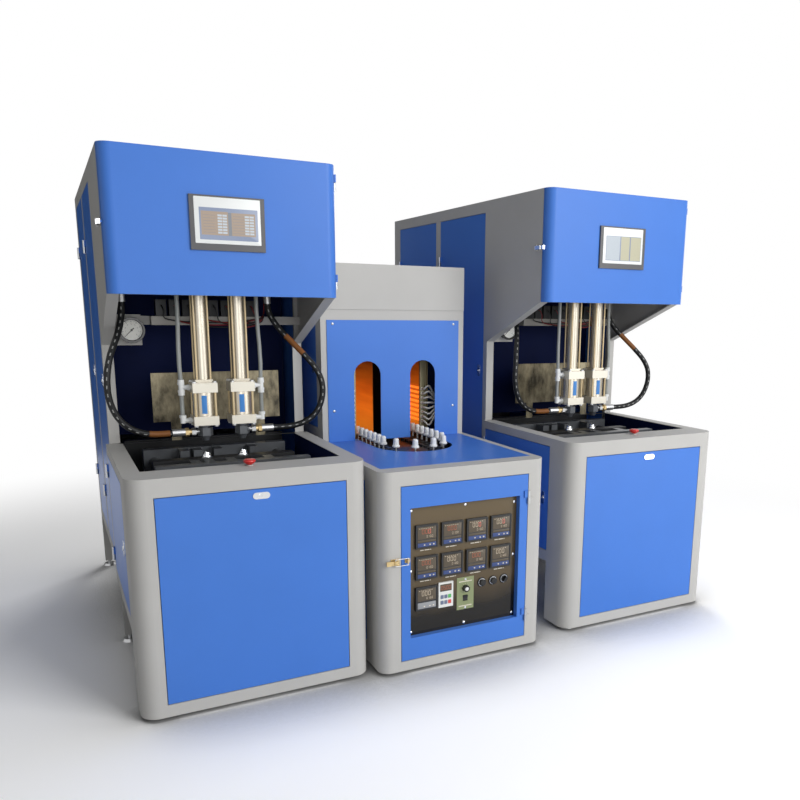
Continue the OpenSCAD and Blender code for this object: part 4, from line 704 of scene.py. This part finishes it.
class MACHINE_OT_hoses(bpy.types.Operator):
    """High-pressure hoses from the blow nozzles up into the hoods"""

    bl_idname = "machine.hoses"
    bl_label = "Hoses"

    def execute(self, context):
        wide = context.scene.machine_sizes.hose
        for unit, origin in UNITS.items():
            for name, route in HOSES.items():
                path = smooth_path(np.array(route) + origin)
                along = np.concatenate([[0], np.cumsum(np.linalg.norm(np.diff(path, axis=0), axis=1))])
                form = Form()
                form.tube(path, wide * 500.0, HOSE_SIDES, SLEEVES[name])
                piece = form.make(f"{unit}_{name}_cover", None)
                uv = piece.data.uv_layers.new(name="length")
                corner = np.empty(len(piece.data.loops), np.int32)
                piece.data.loops.foreach_get("vertex_index", corner)
                spot = np.column_stack([along[corner // HOSE_SIDES] / 1000.0, corner % HOSE_SIDES / HOSE_SIDES])
                uv.data.foreach_set("uv", spot.ravel())
                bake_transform(piece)
                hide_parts(f"{unit}_{name}")
        return {"FINISHED"}


class MACHINE_OT_solids(bpy.types.Operator):
    """Finishes of the solid parts"""

    bl_idname = "machine.solids"
    bl_label = "Solid parts"

    def execute(self, context):
        for unit, origin in UNITS.items():
            self.blow_cabinet(unit, origin)
        self.shared()
        self.heater()
        return {"FINISHED"}

    def blow_cabinet(self, unit, origin):
        """Cabinet, doors and moving pieces of one blow cabinet."""
        pins = near(origin, [[-6, 744.75], [8, 1302.75], [8, 1854.75], [832, 295.25]], 6.8, 0.0, 1960.0)
        # the strip along the table's back edge, where shade falls, gets dark steel as painted shade
        painted_shade_strip = inside((60, 757.5, 840), (780, 771, 871), origin)
        dress(f"{unit}_front_cabinet", "grey_powder_coat", ("zinc_plate", pins), ("black_oxide_steel", painted_shade_strip))
        dress(f"{unit}_rear_cabinet", "grey_powder_coat", ("zinc_plate", pins))
        dress(f"{unit}_hood_door", "blue_powder_coat", ("zinc_plate", pins))
        lock = inside((380, -8, 760), (500, -0.3, 800), origin)
        dress(f"{unit}_front_panel", "blue_powder_coat", ("chromium_plate", lock))
        for name, y, z in (("side_door", 202, 588), ("tall_door_front", 848, 1120), ("tall_door_back", 1400, 1120)):
            x = 0 if name == "side_door" else 14
            lock = inside((x - 8, y - 20, z - 40), (x - 0.3, y + 20, z + 40), origin)
            dress(f"{unit}_{name}", "blue_powder_coat", ("zinc_plate", pins), ("chromium_plate", lock))
        ferrules, nuts = (either(*[inside((low, 470, 915), (high, 530, 965), origin) for low, high in spans])
                          for spans in (((200, 320), (520, 640)), ((270, 296), (544, 570))))
        dress(f"{unit}_blow_nozzles", "dark_tool_steel", ("zinc_plate", ferrules), ("yellow_zinc_plate", nuts))
        for name, coat in (("touch_screen", "screen_bezel"), ("hood_latch", "chromium_plate"),
                           ("front_platen", "dark_tool_steel"), ("rear_platen", "dark_tool_steel"),
                           ("stretch_rods", "chromium_plate"), ("gauge_needle", "dial_print"),
                           ("stop_button", "red_abs")):
            dress(f"{unit}_{name}", coat)

    def shared(self):
        """Nodes that hold the fixed pieces of both blow cabinets."""
        outer = either(in_units((836, -10, 0), (900, 790, 1000)), in_units((822, 790, 0), (900, 2100, 2000)))
        # the hood panels' inner faces get the blue coat darkened as painted shade; their outer faces keep the plain
        # blue
        dress("inner_panels", "blue_coat_painted_shade", ("blue_powder_coat", outer))
        heads = np.array([[x + o[0], HEAD_Y + o[1]] for o in UNITS.values() for x in HEAD_X])
        seal_rods = (heads[:, None] + SEAL_ROD * CORNERS).reshape(-1, 2)
        stretch_rods = (heads[:, None] + STRETCH_ROD * CORNERS).reshape(-1, 2)
        zero = np.zeros(3)
        seats, barrels = near(zero, heads, 24.0, 835.5, 860.0), near(zero, heads, 44.0, 1006.0, 1097.0)
        dress("press_frames", "black_oxide_steel", ("chromium_plate", seats),
              ("grey_powder_coat", lambda c: c[:, 2] > 1495.0),
              ("splashed_zinc", in_units((150, 758, 870), (730, 764, 1160))))
        dress("sealing_cylinders", "anodised_aluminium", ("drawn_aluminium_tube", barrels),
              ("tie_rod_zinc", near(zero, seal_rods, 5.6, 1005.5, 1097.5)))
        dress("stretch_cylinders", "drawn_aluminium_tube",
              ("tie_rod_zinc", near(zero, stretch_rods, 4.6, 1174.0, 1860.0)))
        dress("air_fittings", "white_nylon")
        dress("air_tubes", "grey_polyurethane_tube")
        hose_ends = either(*[near(o, [[84, 610], [640, 610]], 17.0, 1439.0, 1489.0) for o in UNITS.values()])
        dress("air_supply", "black_oxide_steel", ("zinc_plate", hose_ends),
              ("cast_aluminium", in_units((190, 700, 1340), (650, 780, 1384))),
              ("gloss_black_abs", in_units((70, 725, 1270), (180, 773, 1385))))
        dress("levelling_feet", "zinc_plate")

    def heater(self):
        """Nodes of the heater."""
        def past(low, high):
            """Test for centres before the first depth or behind the second."""
            return lambda c: (c[:, 1] - HEATER[1] < low) | (c[:, 1] - HEATER[1] > high)

        def backs(c):
            """Test for the reflectors' faces that look away from the lamps."""
            off = np.abs(c[:, 0] - HEATER[0] - 370.0)
            return (off < 65.0) | (off > 199.5)

        pins = near(HEATER, [[656.75, -6]], 6.8, 0.0, 900.0)
        keeper = inside((30, -16, 455), (80, -0.2, 495), HEATER)
        dress("heater_cabinet", "grey_powder_coat", ("zinc_plate", pins), ("yellow_zinc_plate", keeper))
        dress("heater_panels", "blue_powder_coat")
        dress("heater_side_panels", "blue_powder_coat",
              ("chromium_plate", inside((0, 800, 1100), (14.7, 860, 1200), HEATER)))
        hook = inside((96, -18, 462), (124, -0.2, 486), HEATER)
        dress("control_door", "blue_powder_coat", ("zinc_plate", pins), ("yellow_zinc_plate", hook))
        dress("drive_controls", "white_abs", ("green_anodised_plate", inside((330, 20, 200), (430, 30, 370), HEATER)))
        # the instrument panel's brown, turning black towards its lower edge, is a painted reflection
        for name, coat in (("instrument_panel", "bronze_acrylic"), ("door_latch", "yellow_zinc_plate"),
                           ("door_latch_bail", "zinc_plate"), ("conveyor", "black_oxide_steel")):
            dress(name, coat)
        for name in ("controllers", "speed_knob", "speed_switch"):
            dress(name, "black_abs")
        for name in ("black_button_left", "black_button_right", "selector_switch"):
            dress(name, "gloss_black_abs")
        dress("preform_holders", "white_nylon", ("zinc_plate", lambda c: c[:, 2] < 837.0))
        dress("lamps", "glowing_quartz", ("alumina_ceramic", past(820.5, 1559.5)))
        # the reflectors' faces towards the lamps carry the lamps' glow painted on as emission
        dress("reflectors", "lamp_lit_reflector", ("black_oxide_steel", backs),
              ("heat_stained_zinc", past(815.0, 1565.0)))


class MACHINE_OT_screens(bpy.types.Operator):
    """Touch screens: white border and a lit page, with two plain tables or three plain columns"""

    bl_idname = "machine.screens"
    bl_label = "Touch screens"

    def execute(self, context):
        for unit, origin in UNITS.items():
            form = Form()
            front = origin + SCREEN_AT
            form.slab(rounded(228, 156, 3.0), eased(1.0, 0.4), front, FRONT, "screen_border")
            form.slab(rounded(202, 108, 1.0), eased(0.5, 0.2), front + [3, -1.0, -11], FRONT, "screen_ground")
            page = front + [3, -1.6, -11]
            if unit == "left":
                self.tables(form, page)
            else:
                form.flat([box_loop(-99, -52, -22, 52)], page, FRONT, "screen_row")
                form.flat([box_loop(-16, -52, 34, 52), box_loop(40, -52, 99, 52)], page, FRONT, "screen_cream")
            form.make(f"{unit}_screen_page", f"{unit}_hood_door")
        return {"FINISHED"}

    def tables(self, form, page):
        """Two tables beside each other, each with plain lines and two columns of cells."""
        form.flat([box_loop(-3, -38, 9, 40)], page, FRONT, "screen_gap")
        form.flat([box_loop(-95, -38, -3, 42), box_loop(9, -38, 92, 40)], page, FRONT, "screen_table")
        rows = [box_loop(x, z, x + 15, z + 6.5) for x in (-39, -22, 55, 72) for z in np.linspace(-32, 26, 7)]
        form.flat(rows, page - [0, 0.1, 0], FRONT, "screen_row")
        lines = [box_loop(x, z, x + 40, z + 1.0) for x in (-88, 14) for z in np.linspace(-30, 28, 7)]
        form.flat(lines, page - [0, 0.1, 0], FRONT, "screen_gap")


class MACHINE_OT_controllers(bpy.types.Operator):
    """Faces of the square controllers: window, lit figures, key strip"""

    bl_idname = "machine.controllers"
    bl_label = "Controllers"

    def execute(self, context):
        places = [(x, z) for z in METER_Z[:2] for x in METER_X] + [(METER_X[0], METER_Z[2])]
        face = Form()
        shown = Form()
        for count, (x, z) in enumerate(places):
            at = HEATER + [x, METER_FACE - 0.3, z]
            last = count == len(places) - 1
            face.slab(rounded(80, 50, 2.0), eased(1.0, 0.4), at + [0, 0, 15], FRONT, "meter_window")
            face.slab(rounded(80, 25 if last else 16, 1.5), eased(1.2, 0.4), at + [0, 0, -29 if last else -33], FRONT,
                      "meter_pale_strip" if last else "meter_blue_strip")
            if not last:
                face.slab(rounded(80, 9, 1.0), eased(0.8, 0.3), at + [0, 0, -18], FRONT, "meter_window")
            for key in (-11, 13, 29):
                face.slab(rounded(6, 5, 1.5), eased(0.9, 0.4), at + [key, -1.2, -33], FRONT, "fascia_print")
            glass = at - [0, 1.15, 0]
            for place, tint in enumerate(READINGS[count]):
                shown.flat(figures("0", 17.0, 0), glass + [14.0 * (place - 1) - 3, 0, 21], FRONT, tint)
            shown.flat(figures("0180", 8.5, 7.6), glass + [12, 0, 1], FRONT, "meter_white")
            shown.flat([box_loop(-34 + 9 * k, 33, -29 + 9 * k, 35) for k in range(7)], glass, FRONT, "meter_white")
        face.make("controller_faces", "control_door")
        shown.make("controller_figures", "control_door", smooth=False)
        return {"FINISHED"}


class MACHINE_OT_drive_faces(bpy.types.Operator):
    """Faces of the drive keypad and the speed plate"""

    bl_idname = "machine.drive_faces"
    bl_label = "Drive keypad and speed plate"

    def execute(self, context):
        form = Form()
        x, z = KEYPAD
        at = HEATER + [x - 0.5, DASH_Y - 8.0, z]
        form.slab(rounded(52, 30, 1.5), eased(0.8, 0.3), at + [0, 0, 30], FRONT, "meter_window")
        form.flat(figures("0500", 15.0, 11.5), at + [0, -1.0, 30], FRONT, "meter_amber")
        for last, up in (("green_key", -8), ("red_key", -32)):
            for name, across in (("grey_key", -17), ("grey_key", 0), (last, 17)):
                form.slab(rounded(14, 16, 2.0), eased(1.2, 0.5), at + [across, 0, up], FRONT, name)
        x, z = SPEED
        at = HEATER + [x, DASH_Y - 2.0, z]
        form.flat(ticks(np.linspace(-135, 135, 11), 17, 21, 0.5), at + [0, -0.2, 22], FRONT, "fascia_print")
        form.flat([box_loop(-30, 49, 30, 53), box_loop(-30, -56, 30, -52)], at + [0, -0.2, 0], FRONT, "fascia_print")
        for up in (60, -62):
            form.slab(circle(5.0, 16), [(0, 0), (0, 1.0), (-1.5, 2.2)], at + [0, 0, up], FRONT, "chromium_plate")
        form.make("drive_faces", "control_door")
        cap = Form()
        cap.slab(circle(8.0, 24), eased(1.6, 0.8), HEATER + [x, DASH_Y - 16.3, z + 22], FRONT, "white_abs")
        cap.make("speed_knob_cap", "speed_knob")
        return {"FINISHED"}


class MACHINE_OT_panel_hardware(bpy.types.Operator):
    """Screws of the panels, chrome collars of the buttons, print bars under the controllers"""

    bl_idname = "machine.panel_hardware"
    bl_label = "Panel hardware"

    def execute(self, context):
        head = context.scene.machine_sizes.screw * 500.0
        dome = [(0, 0), (0, 0.8), (-0.25 * head, 2.0), (-0.6 * head, 2.8)]
        screws = Form()
        for x, z in FASCIA_SCREWS:
            screws.slab(circle(head, 18), dome, HEATER + [x, DASH_Y, z], FRONT, "chromium_plate")
        screws.make("fascia_screws", "control_door")
        collars = Form()
        bezel = [(20.0, 0), (20.0, 2.0), (18.5, 4.0), (16.6, 4.6), (16.4, 0.4)]
        ring = [(16.5, 0.2), (16.5, 5.2), (15.8, 5.8), (14.8, 5.8), (14.4, 0.4)]
        for x in SMALL_X:
            spot = HEATER + [x, DASH_Y, SMALL_Z]
            collars.slab(circle(0, 28), bezel, spot, FRONT, "gloss_black_abs", lid=False)
            collars.slab(circle(0, 28), ring, spot, FRONT, "chromium_plate", lid=False)
        collars.make("button_collars", "control_door")
        bars = Form()
        for z in METER_Z[:2]:
            words = ((-25, -9), (-6, 16), (19, 23))
            loops = [box_loop(x + a, z - 59.5, x + b, z - 56) for x in METER_X for a, b in words]
            bars.flat(loops, HEATER + [0, DASH_Y - 0.25, 0], FRONT, "fascia_print")
        bars.make("fascia_bars", "control_door", smooth=False)
        front = Form()
        for x, z in TUNNEL_SCREWS:
            front.slab(circle(head, 18), dome, HEATER + [x, TUNNEL_Y, z], FRONT, "zinc_plate")
        front.make("tunnel_screws", "frame")
        return {"FINISHED"}


class MACHINE_OT_gauges(bpy.types.Operator):
    """Pressure gauges: enamelled dial with ticks and figures, black rim"""

    bl_idname = "machine.gauges"
    bl_label = "Pressure gauges"

    def execute(self, context):
        for unit, origin in UNITS.items():
            at = origin + DIAL_AT
            form = Form()
            form.slab(circle(43.0, 48), [(0, 0), (0, 0.4)], at, FRONT, "dial_enamel")
            turns = np.linspace(-135, 135, 41)
            long = turns[::5]
            marks = [*ticks(long, 31.0, 37.5, 0.7), *ticks(np.setdiff1d(turns, long), 34.0, 37.5, 0.35)]
            form.flat(marks, at - [0, 0.5, 0], FRONT, "dial_print")
            for k, turn in enumerate(np.radians(long)):
                spot = at + [24.5 * np.sin(turn), -0.5, 24.5 * np.cos(turn)]
                form.flat(figures(str(k), 5.0, 4.0), spot, FRONT, "dial_print")
            rim = [(50.6, 0), (50.6, 9.0), (49.5, 10.4), (42.5, 10.4), (40.5, 8.0), (40.0, 0.5)]
            form.slab(circle(0, 48), rim, at + [0, 1, 0], FRONT, "gloss_black_abs", lid=False)
            form.make(f"{unit}_gauge_dial", "frame")
        return {"FINISHED"}


class MACHINE_OT_cylinder_details(bpy.types.Operator):
    """Nuts on the tie rods and plain labels on the sealing cylinders"""

    bl_idname = "machine.cylinder_details"
    bl_label = "Cylinder details"

    def execute(self, context):
        nut = [(0, 0), (0, 5.5), (-1.2, 6.5)]
        form = Form()
        labels = Form()
        for origin in UNITS.values():
            for x in HEAD_X:
                for sx, sy in CORNERS:
                    for z, way in zip(SEAL_CAPS, (TOP, UNDER)):
                        spot = origin + [x + SEAL_ROD * sx, HEAD_Y + SEAL_ROD * sy, z]
                        form.slab(circle(8.0, 6), nut, spot, way, "zinc_plate")
                turn = np.linspace(-0.35, 0.1, 7)[:, None]
                label = [x + LABEL_RADIUS * np.sin(turn), HEAD_Y - LABEL_RADIUS * np.cos(turn), np.array([LABEL_Z])]
                grid = np.stack(np.broadcast_arrays(*label), -1).reshape(-1, 3) + origin
                labels.put(grid, quads(7, 2, False)[:, ::-1], "blue_label")
        form.make("tie_rod_nuts", "frame", smooth=False)
        labels.make("cylinder_labels", "frame")
        return {"FINISHED"}


class MACHINE_OT_fitting_collars(bpy.types.Operator):
    """Release collars and hexagons of the push-in fittings beside the sealing cylinders"""

    bl_idname = "machine.fitting_collars"
    bl_label = "Fitting collars"

    def execute(self, context):
        form = Form()
        ring = [(0, 0), (0, 9.0), (-1.5, 10.5), (-4.0, 10.5), (-4.5, 0.5)]
        for origin in UNITS.values():
            for s in (-1, 1):
                spot = origin + [420.0 + 154.0 * s, HEAD_Y, 0]
                for z, way in ((1127, TOP), (1107, UNDER), (999, TOP)):
                    form.slab(circle(13.0, 20), ring, spot + [0, 0, z], way, "white_nylon", lid=False)
                across = np.array([[0, -s, 0], [0, 0, 1], [-s, 0, 0]], float)
                for z in (1117.0, 987.5):
                    form.slab(circle(12.5, 6), [(-3, 0), (0, 0), (0, 8.0), (-3, 8.0)], spot + [-22.0 * s, 0, z], across,
                              "white_nylon", lid=False)
        form.make("fitting_collars", "frame", smooth=False)
        return {"FINISHED"}


class MACHINE_OT_lamp_leads(bpy.types.Operator):
    """Braided leads from the lamps' front ends, gathered into a bundle that goes down through the bench"""

    bl_idname = "machine.lamp_leads"
    bl_label = "Lamp leads"

    def execute(self, context):
        form = Form()
        for s in (-1, 1):
            middle = 370.0 + 177.0 * s
            for k in range(8):
                z = 890.0 + 22.5 * k
                spread = 3.0 * (k - 3.5)
                route = np.array([(0, 801, z), (4, 788, z), (26, 776 + spread / 3, z + 0.2 * (z - 977)),
                                  (54, 772 + spread, 977 + 0.6 * (z - 977)), (78, 776 + spread, 977 + 0.25 * (z - 977)),
                                  (94, 786 + spread, 955), (100, 796 + spread, 910), (102, 800 + spread, 862),
                                  (102, 800 + spread, 829)], float)
                route[:, 0] = middle + s * route[:, 0]
                form.tube(smooth_path(route, 5) + HEATER, 5.2, 10, "braided_lead")
            form.slab(rounded(22, 40, 8.0), eased(6.0, 2.0), HEATER + [middle + s * 102, 800, 828], TOP, "black_abs")
        form.make("lamp_leads", "frame")
        return {"FINISHED"}


class MACHINE_OT_valve_wires(bpy.types.Operator):
    """Wires that hang from the valve coils under the hoods and run into a bundle beside them"""

    bl_idname = "machine.valve_wires"
    bl_label = "Valve wires"

    def execute(self, context):
        for unit, origin in UNITS.items():
            form = Form()
            for k in range(8):
                x = 240.0 + 51.0 * k
                sag = 1372.0 - 9.0 * (k % 3)
                side = 652.0
                route = [(x, 727, 1428), (x + 2, 716, 1426), (x + 10, 708, 1404), (x + 24, 706, sag),
                         (0.5 * (x + side), 708, sag - 12), (side - 24, 716, sag + 4), (side, 728, 1396),
                         (side + 6, 738, 1440 + 3 * k), (side + 6, 744, 1500)]
                path = smooth_path(np.array(route, float) + origin, 5)
                form.tube(path, 2.6, 8, "red_wire" if k % 2 else "black_wire")
            form.make(f"{unit}_valve_wires", "frame")
        return {"FINISHED"}


OPERATORS = (MACHINE_OT_stage, MACHINE_OT_hoses, MACHINE_OT_solids, MACHINE_OT_screens, MACHINE_OT_controllers,
             MACHINE_OT_drive_faces, MACHINE_OT_panel_hardware, MACHINE_OT_gauges, MACHINE_OT_cylinder_details,
             MACHINE_OT_fitting_collars, MACHINE_OT_lamp_leads, MACHINE_OT_valve_wires)


class MACHINE_PT_dresser(bpy.types.Panel):
    """Lists the machine's groups of pieces"""

    bl_idname = "MACHINE_PT_dresser"
    bl_label = "Bottle Machine"
    bl_space_type = "VIEW_3D"
    bl_region_type = "UI"
    bl_category = "Bottle Machine"

    def draw(self, context):
        for group in (context.scene.machine_hues, context.scene.machine_sizes):
            for key in group.__annotations__:
                self.layout.prop(group, key)
        for operator in OPERATORS:
            self.layout.operator(operator.bl_idname)


CLASSES = (MachineHues, MachineSizes, *OPERATORS, MACHINE_PT_dresser)


def register():
    for each in CLASSES:
        bpy.utils.register_class(each)
    bpy.types.Scene.machine_hues = bpy.props.PointerProperty(type=MachineHues)
    bpy.types.Scene.machine_sizes = bpy.props.PointerProperty(type=MachineSizes)


def unregister():
    del bpy.types.Scene.machine_hues, bpy.types.Scene.machine_sizes
    for each in reversed(CLASSES):
        bpy.utils.unregister_class(each)


def main():
    """Registers the add-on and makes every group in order."""
    register()
    for operator in OPERATORS:
        space, name = operator.bl_idname.split(".")
        getattr(getattr(bpy.ops, space), name)()


if __name__ == "__main__":
    main()
